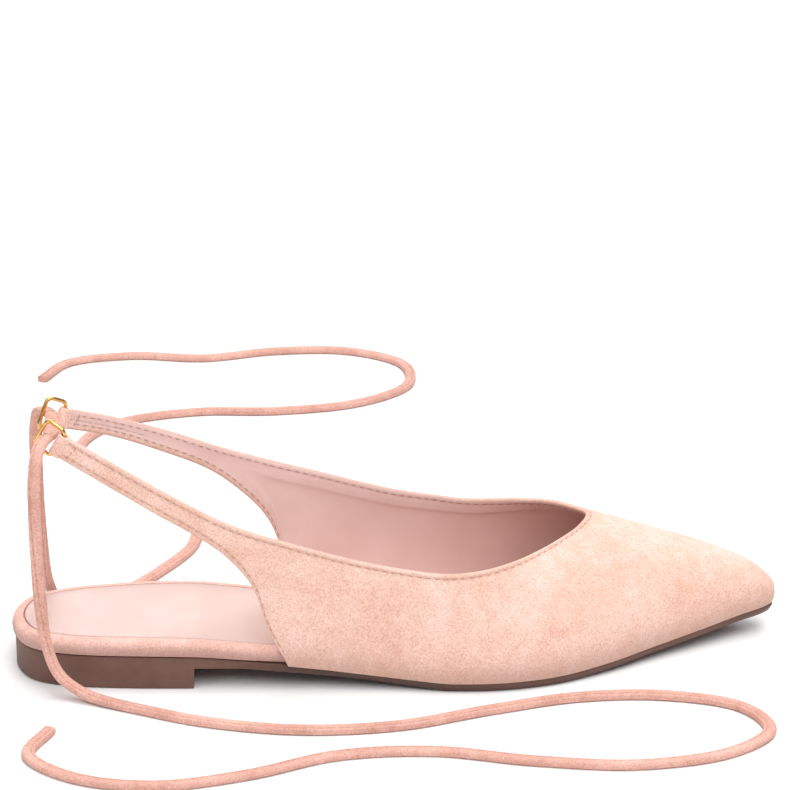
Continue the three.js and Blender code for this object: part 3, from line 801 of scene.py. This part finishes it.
def studio():
    bpy.ops.object.select_all(action="DESELECT")
    bpy.ops.mesh.primitive_plane_add(size=FLOOR_SIZE)
    floor = new_piece("studio_floor")
    floor.data.materials.append(pale_floor())
    for light in LIGHTS:
        soft_light(light)
    world = bpy.data.worlds.new("studio_air")
    world.use_nodes = True
    air = world.node_tree.nodes["Background"]
    air.inputs["Color"].default_value = (1, 1, 1, 1)
    air.inputs["Strength"].default_value = AIR_LIGHT
    bpy.context.scene.world = world
    bpy.context.scene.view_settings.view_transform = "Standard"


# Ties: flat folded strips swept along their routes

StrapEnd = namedtuple("StrapEnd", "width edge back out bar")


def strap_end(place):
    """A strap's end: its width, the directions of its end edge, back along it and outward, and its bar."""
    next_place = STRAP_STEP if place == 0 else place - STRAP_STEP

    def middle(at):
        corners = []
        for share in (0, 1):
            face = outside(at, share)
            corners += [face, face - UPPER_WALL * outside_normal(at, share)]
        return np.mean(corners, axis=0)

    edge = outside(place, 1) - outside(place, 0)
    width = np.linalg.norm(edge)
    edge = edge / width
    back = middle(place) - middle(next_place)
    back = unit(back - back.dot(edge) * edge)
    out = np.cross(edge, back) * (1 if place == 0 else -1)
    return StrapEnd(width, edge, back, out, middle(place) + FOLD_SETBACK * back)


OUTER_END = strap_end(0)
INNER_END = strap_end(LAST_PLACE)


def in_ring(end, outward):
    return end.bar + TIE_IN_RING * end.back + outward * end.out


def curve_through(points):
    """Centripetal curve through points: its places and, for each, the route index it lies at."""
    points = np.asarray(points, float)
    padded = np.vstack([2 * points[0] - points[1], points, 2 * points[-1] - points[-2]])
    places, indexes = [], []
    for i in range(len(points) - 1):
        p = padded[i:i + 4]
        t = running(step_lengths(p) ** 0.5)
        for step in range(TIE_CURVE_STEPS):
            at = t[1] + (t[2] - t[1]) * step / TIE_CURVE_STEPS
            a = [(p[k] * (t[k + 1] - at) + p[k + 1] * (at - t[k])) / (t[k + 1] - t[k]) for k in range(3)]
            b = [(a[k] * (t[k + 2] - at) + a[k + 1] * (at - t[k])) / (t[k + 2] - t[k]) for k in range(2)]
            places.append((b[0] * (t[2] - at) + b[1] * (at - t[1])) / (t[2] - t[1]))
            indexes.append(i + step / TIE_CURVE_STEPS)
    places.append(points[-1])
    indexes.append(len(points) - 1)
    return np.array(places), np.array(indexes)


def even_steps(places, indexes, spacing):
    """The same curve sampled at even distances."""
    run = running(step_lengths(places))
    wanted = np.linspace(0, run[-1], int(run[-1] / spacing) + 1)
    return between(wanted, run, places), np.interp(wanted, run, indexes), wanted


def strip_section():
    """Closed section of the folded strip: round fold on one edge, pinched cut edges on the other."""
    half, thick = TIE_WIDTH / 2, TIE_THICKNESS / 2
    upper_side = [
        (-half, 0.0), (-half + 0.15, 0.55 * thick), (-half + 0.55, 0.9 * thick), (-half + 1.2, thick),
        (0.0, 1.02 * thick), (half - 1.75, 0.98 * thick), (TIE_SEAM_ACROSS, TIE_SEAM_HEIGHT),
        (half - 0.85, 0.88 * thick), (half - 0.35, 0.8 * thick), (half - 0.08, 0.5 * thick),
        (half - 0.15, 0.1 * thick),
    ]
    under_side = [(across, -height) for across, height in upper_side[::-1][:-1]]
    return np.array(upper_side + under_side)


def strip_frames(places, faces):
    """Direction, width direction and face direction at each place of a strip."""
    ahead = np.gradient(places, axis=0)
    ahead /= np.linalg.norm(ahead, axis=1)[:, None]
    face = faces - (faces * ahead).sum(1)[:, None] * ahead
    face /= np.linalg.norm(face, axis=1)[:, None]
    return ahead, np.cross(ahead, face), face


def tie_strip(name, places, faces):
    """Sweep the folded strip along its places and close its cut ends."""
    section = strip_section()
    _, wide, face = strip_frames(places, faces)
    loop = np.vstack([section, section[:1]])
    points = (places[:, None, :] + loop[None, :, 0, None] * wide[:, None, :]
              + loop[None, :, 1, None] * face[:, None, :])
    piece, _, column = grid_sheet(name, metres(points))
    # The seam mark gives the strip's suede painted shade in the groove along its seam.
    seam = bell(loop[:, 0] - TIE_SEAM_ACROSS, TIE_SEAM_WIDTH)
    vertex_marks(piece, "seam", seam[column])
    close_up(piece, angle=50)
    fill_ends(piece)
    close_up(piece, angle=50)
    return piece


def tie_stitches(name, places, run, faces):
    """Stitches along the strip's seam, on both faces."""
    ahead, wide, face = strip_frames(places, faces)
    spots = []
    for distance in np.arange(TIE_ROW_START, run[-1] - TIE_ROW_END, STITCH_PITCH):
        k = int(np.searchsorted(run, distance))
        for side in (1, -1):
            lift = side * (TIE_SEAM_HEIGHT + TIE_STITCH_STAND)
            spots.append((places[k] + TIE_SEAM_ACROSS * wide[k] + lift * face[k], ahead[k], side * face[k]))
    return stitch_row(name, spots)


def stitch_row(name, spots):
    """One stitch, shaped from a ball and copied along rows of (place, direction, face), in one mesh."""
    bpy.ops.object.select_all(action="DESELECT")
    bpy.ops.mesh.primitive_uv_sphere_add(segments=8, ring_count=4, radius=0.5)
    bpy.ops.transform.resize(value=(STITCH_LENGTH, STITCH_WIDTH, STITCH_HEIGHT))
    bpy.ops.object.transform_apply(location=False, rotation=False, scale=True)
    piece = new_piece(name)
    shape = vertex_array(piece)
    sink = (np.abs(shape[:, 0]) / (STITCH_LENGTH / 2)) ** 3 * STITCH_SINK
    shape[:, 2] -= sink
    faces = [tuple(polygon.vertices) for polygon in piece.data.polygons]
    places, corners = [], []
    for number, (place, ahead, face) in enumerate(spots):
        side = unit(np.cross(face, ahead))
        slant = STITCH_SLANT * math.sin(SLANT_TURN * number)
        ahead = unit(ahead + slant * side)
        side = unit(np.cross(face, ahead))
        turn = np.stack([ahead, side, np.cross(ahead, side)])
        stretch = 1 + STITCH_UNEVEN * math.sin(UNEVEN_TURN * number)
        places.append(place + (shape * [stretch, 1, 1]) @ turn)
        corners += [tuple(corner + number * len(shape) for corner in polygon) for polygon in faces]
    joined = bpy.data.meshes.new(name)
    joined.from_pydata(metres(np.vstack(places)).tolist(), [], corners)
    joined.update()
    piece.data = joined
    close_up(piece, angle=60, merge=1e-9)
    return piece


def tie_faces(indexes, marks):
    """Face directions along a strip, blended between (route index, direction) marks."""
    at = [index for index, direction in marks]
    directions = np.array([direction for index, direction in marks], float)
    return between(indexes, at, directions)


def tie_end(name, end, route, landing, node):
    """One loose tie end: out of its ring, down, half a twist, then flat on the floor."""
    points = [in_ring(end, FIT_GAP / 2), in_ring(end, TIE_PAST_RING)] + [np.array(p, float) for p in route]
    places, indexes, run = even_steps(*curve_through(points), TIE_SPACING)
    places[:, 2] = np.maximum(places[:, 2], TIE_THICKNESS / 2 + FLOOR_CLEAR)
    up = np.array([0, 0, 1.0])
    out = unit(np.array([end.out[0], end.out[1], 0]))
    landing = unit(np.array([*landing, 0.0]))
    halfway = unit(out + landing)
    marks = [(0, up), (1, up), (2, out + up), (3, out), (5, out), (6.5, halfway), (8, landing),
             (9, landing + up), (10, up), (len(points) - 1, up)]
    faces = tie_faces(indexes, marks)
    strip = dress(tie_strip(name, places, faces), "tie_suede", TIE_SUEDE, replaces=(node,))
    stitches = dress(tie_stitches(name + "_stitches", places, run, faces), "tie_suede", TIE_THREAD)


def tie_bridge():
    """The stretch of tie from ring to ring across the back."""
    start, stop = in_ring(OUTER_END, -FIT_GAP / 2), in_ring(INNER_END, -FIT_GAP / 2)
    middle = (start + stop) / 2 + [TIE_BRIDGE_BOW, 0, -TIE_BRIDGE_SAG]
    points = [start, in_ring(OUTER_END, -BRIDGE_REACH), middle, in_ring(INNER_END, -BRIDGE_REACH), stop]
    places, _, run = even_steps(*curve_through(points), BRIDGE_SPACING)
    faces = np.tile([0, 0, 1.0], (len(places), 1))
    dress(tie_strip("tie_bridge_strip", places, faces), "tie_suede", TIE_SUEDE, replaces=("tie_bridge",))
    dress(tie_stitches("tie_bridge_stitches", places, run, faces), "tie_suede", TIE_THREAD)


# Sole, footbed and sock, lofted from the heel to the toe

def rand_bulge(along):
    return RAND_BULGE * fraction((RAND_END - along) / RAND_FADE)


def rim_share(along):
    way = (along - RIM_NARROWS_FROM) / (RIM_NARROWS_TO - RIM_NARROWS_FROM)
    return 1 - (1 - RIM_TOE_SHARE) * fraction(way)


def stations():
    return [step / STATION_STEPS for step in range(TOE_ROW * STATION_STEPS + 1)]


def lofted_slab(name, places, rings, across=7, marks=None):
    """A slab lofted through stations; each ring gives an outward step and a height at a station."""
    points = []
    for number, place in enumerate(places):
        along = around_loop(LOOP_ALONG, place)
        sides = []
        for side_place in (place, LOOP_ROWS - place):
            side = []
            for outward, height in rings:
                spot = outline_point(side_place, outward(along, number))
                side.append((*spot, height(along, number)))
            sides.append(np.array(side))
        outer, inner = sides
        shares = np.linspace(0, 1, across + 2)[1:-1, None]
        top = outer[-1] * (1 - shares) + inner[-1] * shares
        under = inner[0] * (1 - shares) + outer[0] * shares
        points.append(np.vstack([outer, top, inner[::-1], under, outer[:1]]))
    piece, _, column = grid_sheet(name, metres(points))
    if marks:
        level = np.array([*marks, *[0] * across, *marks[::-1], *[0] * across, marks[0]])
        vertex_marks(piece, "shade", level[column])
    close_up(piece, angle=35, merge=2e-6)
    return piece


def sole():
    """One moulding with a low heel block that ends in an upright breast."""
    places = stations()
    breast = next(i for i, place in enumerate(places) if around_loop(LOOP_ALONG, place) > BREAST_ALONG)

    def place_at(along):
        low, high = 0.0, float(TOE_ROW)
        while high - low > 1e-6:
            middle = (low + high) / 2
            if around_loop(LOOP_ALONG, middle) < along:
                low = middle
            else:
                high = middle
        return low

    places[breast:breast] = [place_at(BREAST_ALONG), place_at(BREAST_ALONG + BREAST_DEPTH)]

    def under(along, number):
        return 0 if number <= breast else profile("under", along)

    def welt(along):
        return SOLE_WELT * fraction((along - RAND_END) / WELT_FADE)

    def ring(inset, rise):
        def outward(along, number):
            return profile("edge", along) - inset * (1 if number <= breast else SOLE_TUCK)
        return outward, lambda along, number: under(along, number) + rise

    def top_ring(inset, drop):
        def height(along, number):
            return profile("top", along) - drop + (WELT_LIFT if along > RAND_END else 0)
        return lambda along, number: profile("edge", along) + welt(along) - inset, height

    rings = [ring(1.2, 0), ring(0.75, 0.05), ring(0.36, 0.2), ring(0.12, 0.5), ring(0, 1.0),
             top_ring(0, 0.9), top_ring(0.05, 0.45), top_ring(0.3, 0.1), top_ring(0.7, 0)]
    piece = lofted_slab("sole_moulding", places, rings)
    # Painted shade along the forepart's edge, none at the heel and little at the toe.
    along = vertex_array(piece)[:, 0] / MM - SHIFT[0]
    vertex_marks(piece, "shade", np.interp(along, SOLE_PAINTED_SHADE_ALONG, SOLE_PAINTED_SHADE))
    dress(piece, "sole_rubber", SOLE, replaces=("outsole",))


def footbed():
    """The board's suede wrap: round edge, flat rim and the recess for the sock, with painted shade on the
    edge's lower half and at the recess's step.
    """
    def ring(inset, share, sink=0):
        def outward(along, number):
            return rand_bulge(along) - inset * rim_share(along) - (0 if along < RAND_END else EDGE_CLEAR)

        def height(along, number):
            return profile("top", along) + FIT_GAP + share * profile("board", along) - sink
        return outward, height

    rings = [ring(1.2, 0), ring(0.5, 0.05), ring(0.12, 0.2), ring(0, 0.38), ring(0, 0.52), ring(0.14, 0.66),
             ring(0.5, 0.79), ring(1.05, 0.89), ring(1.75, 0.96), ring(2.6, 1.0), ring(3.4, 1.0),
             ring(RIM_WIDTH - 0.15, 0.99), ring(RIM_WIDTH, 0.96),
             ring(RIM_WIDTH + 0.1, 1, SOCK_THICKNESS + FIT_GAP)]
    # Painted shade on the lower half of the round edge and at the step down to the sock.
    marks = [1, 1, 1, 0.92, 0.75, 0.48, 0.2] + [0] * (len(rings) - 9) + [0.5, 1]
    piece = lofted_slab("footbed_wrap", stations(), rings, marks=marks)
    dress(piece, "suede", FOOTBED_SUEDE, replaces=("footbed",))


def sock():
    """The smooth sheet in the footbed's recess, with a softly rounded cut edge."""
    def ring(inset, share):
        def outward(along, number):
            return rand_bulge(along) - (RIM_WIDTH + inset) * rim_share(along) - FIT_GAP - EDGE_CLEAR

        def height(along, number):
            seat = profile("top", along) + FIT_GAP + profile("board", along) - SOCK_THICKNESS
            return seat + share * SOCK_THICKNESS
        return outward, height

    rings = [ring(0.1, 0), ring(0, 0.3), ring(0, 0.7), ring(0.15, 0.9), ring(0.45, 1.0)]
    dress(lofted_slab("sock_sheet", stations(), rings, across=9), "sock", SOCK, replaces=("insole",))


# The upper

def edge_relief(distance, inset):
    """Swell of a turned edge and the groove that its stitching pulls in, at a distance from the edge."""
    bead = BEAD_HEIGHT * bell(distance - inset / 2, BEAD_HALF_WIDTH)
    groove = GROOVE_DEPTH * bell(distance - inset, GROOVE_NARROWNESS * GROOVE_HALF_WIDTH)
    return bead - groove


# Where the stitching pulls its groove: the suede gets painted shade there, the lining only puckers.
def seam_mark(distance, inset):
    return bell(distance - inset, GROOVE_HALF_WIDTH)


def lasted_painted_shade(distance):
    """Painted shade on the suede low on the wall, where it turns under to the sole."""
    return LASTED_PAINTED_SHADE * bell(distance, LASTED_PAINTED_SHADE_HEIGHT)


def toe_painted_shade(along):
    """Painted shade on the lining, deepening toward the toe."""
    return TOE_PAINTED_SHADE * fraction((along - TOE_PAINTED_SHADE_FROM) / TOE_PAINTED_SHADE_RUN)


def turned_shade(distance):
    """Darker suede along a turned free edge."""
    return TURNED_SHADE * bell(distance, TURNED_SHADE_WIDTH)


def dent_depth(place, share):
    return sum(dent.depth * bell(place - dent.place, dent.reach_place)
               * bell(share - dent.share, dent.reach_share) for dent in DENTS)


def free_edge(place):
    """How far the lower edge is a free, turned edge: 1 on the straps, 0 along the sole."""
    fade = 0.35
    outer = (FIRST_FEATHER - place) / fade
    inner = (place - LAST_FEATHER) / fade
    return fraction(max(outer, inner))


EDGE_STEPS = [EDGE_ROUND, 1.0, 1.3, 1.6, STITCH_INSET, 2.2, 2.6, 3.1]
INNER_EDGE_STEPS = [EDGE_ROUND, 1.4, STITCH_INSET, 2.6]
HEM_STEPS = [5.6, 6.2, 6.6, 7.0, 7.4, 8.0]
OUTSIDE_STEPS = 20
INSIDE_STEPS = 10
ROUND_STEPS = (0.35, 0.75, 0.95, 0.75, 0.35)
TURNED_COLUMNS = 3


class WallSection:
    """One section of the wall, measured along its outside from the lower edge."""

    def __init__(self, place):
        self.place = place
        self.curve = wall_curve(place)
        self.shares = np.linspace(0, 1, WALL_STEPS + 1)
        line = bernstein(self.shares) @ self.curve
        self.run = running(step_lengths(line))
        self.length = self.run[-1]

    def share_at(self, distance):
        return float(np.interp(distance, self.run, self.shares))

    def at(self, distance, depth=0.0, lift=0.0):
        """Place in the wall: depth runs from the outside in, lift stands out from the face."""
        share = self.share_at(distance)
        face = bernstein(share) @ self.curve
        return face + (lift - depth) * outside_normal(self.place, share)


def distances(length, low_steps, top_steps, count):
    """Distances from the lower edge: close at both edges, even between them."""
    between = np.linspace(low_steps[-1], length - top_steps[-1], count + 2)[1:-1]
    return [*low_steps, *between, *[length - step for step in top_steps[::-1]]]


def hem_steps(length):
    """Steps of the lining at an edge, squeezed on the narrow straps."""
    last = INNER_EDGE_STEPS[-1]
    room = max(HEM_LEAST_ROOM, min(1, (length - 2 * last) / (2 * HEM_STEPS[-1])))
    return INNER_EDGE_STEPS + [last + (step - last) * room for step in HEM_STEPS]


def hem_swell(distance):
    """The lining stands in over the turned-down suede, with a soft step where that ends."""
    rise = fraction((distance - HEM_RISE_FROM) / HEM_RISE_RUN)
    return HEM_SWELL * rise / (1 + math.exp((distance - HEM_DEPTH) / HEM_SOFTNESS))


def upper_ring(place):
    """Points round the wall at one section, with the seam and shade marks of each."""
    section = WallSection(place)
    length = section.length
    free = free_edge(place)
    points, marks = [], []
    low_steps = [EDGE_ROUND * free] + EDGE_STEPS[1:]
    for distance in distances(length, low_steps, EDGE_STEPS, OUTSIDE_STEPS):
        lift = edge_relief(length - distance, STITCH_INSET) + free * edge_relief(distance, LOW_STITCH_INSET)
        lift -= dent_depth(place, section.share_at(distance))
        points.append(section.at(distance, lift=lift))
        seam = max(seam_mark(length - distance, STITCH_INSET), free * seam_mark(distance, LOW_STITCH_INSET))
        # Painted shade low on the wall along the sole; the darker turned edge tone along the free strap
        # edges.
        shade = (1 - free) * lasted_painted_shade(distance) + free * turned_shade(distance)
        # Near the topline: painted shade that damps the top light on the bead, over the darker turned edge.
        marks.append((seam, shade + TOPLINE_PAINTED_SHADE_SHARE * turned_shade(length - distance)))
    for step, swell in enumerate(ROUND_STEPS):
        depth = UPPER_WALL * (step + 1) / (len(ROUND_STEPS) + 1)
        points.append(section.at(length - EDGE_ROUND * (1 - swell), depth=depth))
        # Rounded topline: painted shade that damps the top light on it, over the darker turned edge.
        marks.append((0, TOP_EDGE_PAINTED_SHADE))
    for distance in distances(length, hem_steps(length), hem_steps(length), INSIDE_STEPS)[::-1]:
        pull = seam_mark(length - distance, STITCH_INSET) + free * seam_mark(distance, LOW_STITCH_INSET)
        hem = max(hem_swell(length - distance), free * hem_swell(distance))
        swell = hem * fraction((length - HEM_LEAST_WALL) / HEM_FULL_RUN)
        points.append(section.at(distance, depth=UPPER_WALL + swell - 0.5 * GROOVE_DEPTH * pull))
        # Darker turned edge tone near the free edges, and painted shade toward the toe.
        marks.append((min(1, pull), free * turned_shade(distance) + toe_painted_shade(points[-1][0])))
    for step, swell in enumerate(ROUND_STEPS):
        depth = UPPER_WALL * (1 - (step + 1) / (len(ROUND_STEPS) + 1))
        points.append(section.at(EDGE_ROUND * (1 - swell) * free, depth=depth))
        # Rounded lower edge: full painted shade where it stands on the sole, the darker turned edge tone on
        # the free straps.
        marks.append((0, (1 - free) + LOW_EDGE_SHADE * free))
    return points + points[:1], marks + marks[:1]


def upper():
    """The hollow upper: suede outside and over its edges, coated lining inside."""
    places = np.linspace(0, LAST_PLACE, LAST_PLACE * UPPER_STEPS + 1)
    rings = [upper_ring(place) for place in places]
    piece, row, column = grid_sheet("upper_wall", metres([points for points, marks in rings]))
    marks = np.array([marks for points, marks in rings])
    vertex_marks(piece, "seam", marks[row, column, 0])
    vertex_marks(piece, "shade", marks[row, column, 1])
    outside_count = 2 * len(EDGE_STEPS) + OUTSIDE_STEPS
    lining_from = outside_count + len(ROUND_STEPS) - 1
    lining_to = lining_from + 2 * len(INNER_EDGE_STEPS + HEM_STEPS) + INSIDE_STEPS + 1
    middle = face_middles(piece, column)
    section = places[0] + face_middles(piece, row) * (places[1] - places[0])
    strap = (section < FIRST_FEATHER) | (section > LAST_FEATHER)
    lined = (middle > lining_from) & (middle < np.where(strap, lining_to - TURNED_COLUMNS, lining_to))
    piece.data.polygons.foreach_set("material_index", lined.astype(int))
    close_up(piece, angle=60)
    fill_ends(piece)
    close_up(piece, angle=60)
    dress(piece, "suede", UPPER_SUEDE, LINING, replaces=("upper",))


def stitches_along(places, from_top, depth, face_sign):
    """Stitch spots at the stitching distance from the topline or from the lower edge."""
    line, faces = [], []
    for place in places:
        section = WallSection(place)
        distance = section.length - STITCH_INSET if from_top else LOW_STITCH_INSET
        lift = -0.5 * GROOVE_DEPTH if depth == 0 else 0
        line.append(section.at(distance, depth=depth, lift=lift))
        faces.append(face_sign * outside_normal(place, section.share_at(distance)))
    line, faces = np.array(line), np.array(faces)
    run = running(step_lengths(line))
    ahead = np.gradient(line, axis=0)
    spots = []
    for distance in np.arange(ROW_START, run[-1] - ROW_END, STITCH_PITCH):
        spot, direction, face = [between(distance, run, values) for values in (line, ahead, faces)]
        spots.append((spot, unit(direction), unit(face)))
    return spots


def end_row_stitches(end, place, depth, face_sign):
    """The short row of stitches across a strap, just ahead of its fold."""
    spots = []
    at = place + (END_ROW_BACK if place == 0 else -END_ROW_BACK)
    section = WallSection(at)
    for share in END_ROW_SHARES:
        spot = section.at(share * section.length, depth=depth, lift=END_ROW_LIFT)
        spots.append((spot, end.edge, face_sign * outside_normal(at, share)))
    return spots


def upper_stitching():
    """Rows along the topline, the straps and the quarters' backs, on the outside and on the lining."""
    start, stop, short = 0.12, LAST_PLACE - 0.12, 0.05
    topline = np.linspace(start, stop, LAST_PLACE * STITCH_LINE_STEPS)
    outer_low = np.linspace(start, FIRST_FEATHER - short, FIRST_FEATHER * STITCH_LINE_STEPS)
    inner_low = np.linspace(LAST_FEATHER + short, stop, (LAST_PLACE - LAST_FEATHER) * STITCH_LINE_STEPS)
    sides = (("outside", 0, 1, UPPER_THREAD), ("lining", UPPER_WALL, -1, LINING_THREAD))
    for name, depth, sign, thread in sides:
        spots = stitches_along(topline, True, depth, sign)
        spots += stitches_along(outer_low, False, depth, sign)
        spots += stitches_along(inner_low, False, depth, sign)
        spots += end_row_stitches(OUTER_END, 0, depth, sign)
        spots += end_row_stitches(INNER_END, LAST_PLACE, depth, sign)
        dress(stitch_row("stitches_" + name, spots), "suede", thread)


def fold_contour(neck, radius):
    """One face of the fold in section: its neck, the turn round the bar and the neck again."""
    angles = np.radians(np.linspace(FOLD_TURN, -FOLD_TURN, FOLD_STEPS + 1))
    turn = [(radius * math.cos(angle), radius * math.sin(angle)) for angle in angles]
    return neck + turn + [(back, -out) for back, out in neck[::-1]]


def strap_fold(name, end):
    """The strap's end turned round its ring's bar: an eye in section, swept along the end edge."""
    outer = fold_contour(FOLD_OUTER_NECK, FOLD_RADIUS)
    inner = fold_contour(FOLD_INNER_NECK, FOLD_BORE)
    half = FOLD_WIDTH_SHARE * end.width
    soft = 0.35
    levels = [(-half, soft), (-half + soft, 0.1), (-half + 2 * soft, 0), (0, 0),
              (half - 2 * soft, 0), (half - soft, 0.1), (half, soft)]

    def ring(contour, level, shrink, grow):
        scaled = []
        for back, out in contour:
            size = math.hypot(back, out)
            factor = (size + grow * shrink) / size
            scaled.append(end.bar + level * end.edge + factor * (back * end.back + out * end.out))
        return scaled + scaled[:1]

    rings = [ring(outer, level, shrink, -1) for level, shrink in levels]
    rings += [ring(inner, level, shrink, 0.3) for level, shrink in levels[::-1]]
    piece, row, _ = grid_sheet(name, metres(rings + rings[:1]))
    vertex_marks(piece, "seam", np.zeros(len(row)))
    close_up(piece, angle=60)
    return dress(piece, "suede", UPPER_SUEDE)


def oblong(step):
    """Centreline of the ring at one of its steps: a rounded oblong's place and outward direction."""
    quarter, way = divmod(step, RING_STEPS // 4)
    half_wide, half_deep = RING_HALF_WIDTH - RING_CORNER, RING_HALF_DEPTH - RING_CORNER

    def corner(number, share):
        angle = math.pi / 2 * (number + share)
        middle_angle = math.pi / 2 * (number + 0.5)
        out = np.array([math.cos(angle), math.sin(angle)])
        sides = np.sign([math.cos(middle_angle), math.sin(middle_angle)])
        return sides * [half_wide, half_deep] + RING_CORNER * out, out

    if way <= RING_CORNER_STEPS:
        return corner(quarter, way / RING_CORNER_STEPS)
    place, out = corner(quarter, 1)
    next_place, _ = corner(quarter + 1, 0)
    share = (way - RING_CORNER_STEPS) / (RING_STEPS // 4 - RING_CORNER_STEPS)
    return place * (1 - share) + next_place * share, out


def ring_loop(name, end, node):
    """Rounded oblong ring of polished wire, shaped from a torus; its front bar lies in the fold."""
    tube = 0.25
    bpy.ops.object.select_all(action="DESELECT")
    bpy.ops.mesh.primitive_torus_add(
        major_segments=RING_STEPS, minor_segments=16, major_radius=1, minor_radius=tube)
    piece = new_piece(name)
    centre = end.bar + RING_HALF_DEPTH * end.back
    across = np.cross(end.edge, end.back)
    points = []
    for x, y, z in vertex_array(piece):
        step = round(math.atan2(y, x) / (2 * math.pi) * RING_STEPS) % RING_STEPS
        place, out = oblong(step)
        plan = place + RING_WIRE * (math.hypot(x, y) - 1) / tube * out
        points.append(centre + plan[0] * end.edge + plan[1] * end.back + RING_WIRE * z / tube * across)
    place_vertices(piece, metres(points))
    close_up(piece, angle=60)
    return dress(piece, "ring_metal", GOLD, replaces=(node,))


photo_camera()
studio()
tie_end("tie_outer_strip", OUTER_END, OUTER_TIE, OUTER_LANDING, "tie_outer")
tie_end("tie_inner_strip", INNER_END, INNER_TIE, INNER_LANDING, "tie_inner")
tie_bridge()
sole()
footbed()
sock()
upper()
upper_stitching()
strap_fold("strap_fold_outer", OUTER_END)
strap_fold("strap_fold_inner", INNER_END)
ring_loop("ring_outer_wire", OUTER_END, "ring_outer")
ring_loop("ring_inner_wire", INNER_END, "ring_inner")
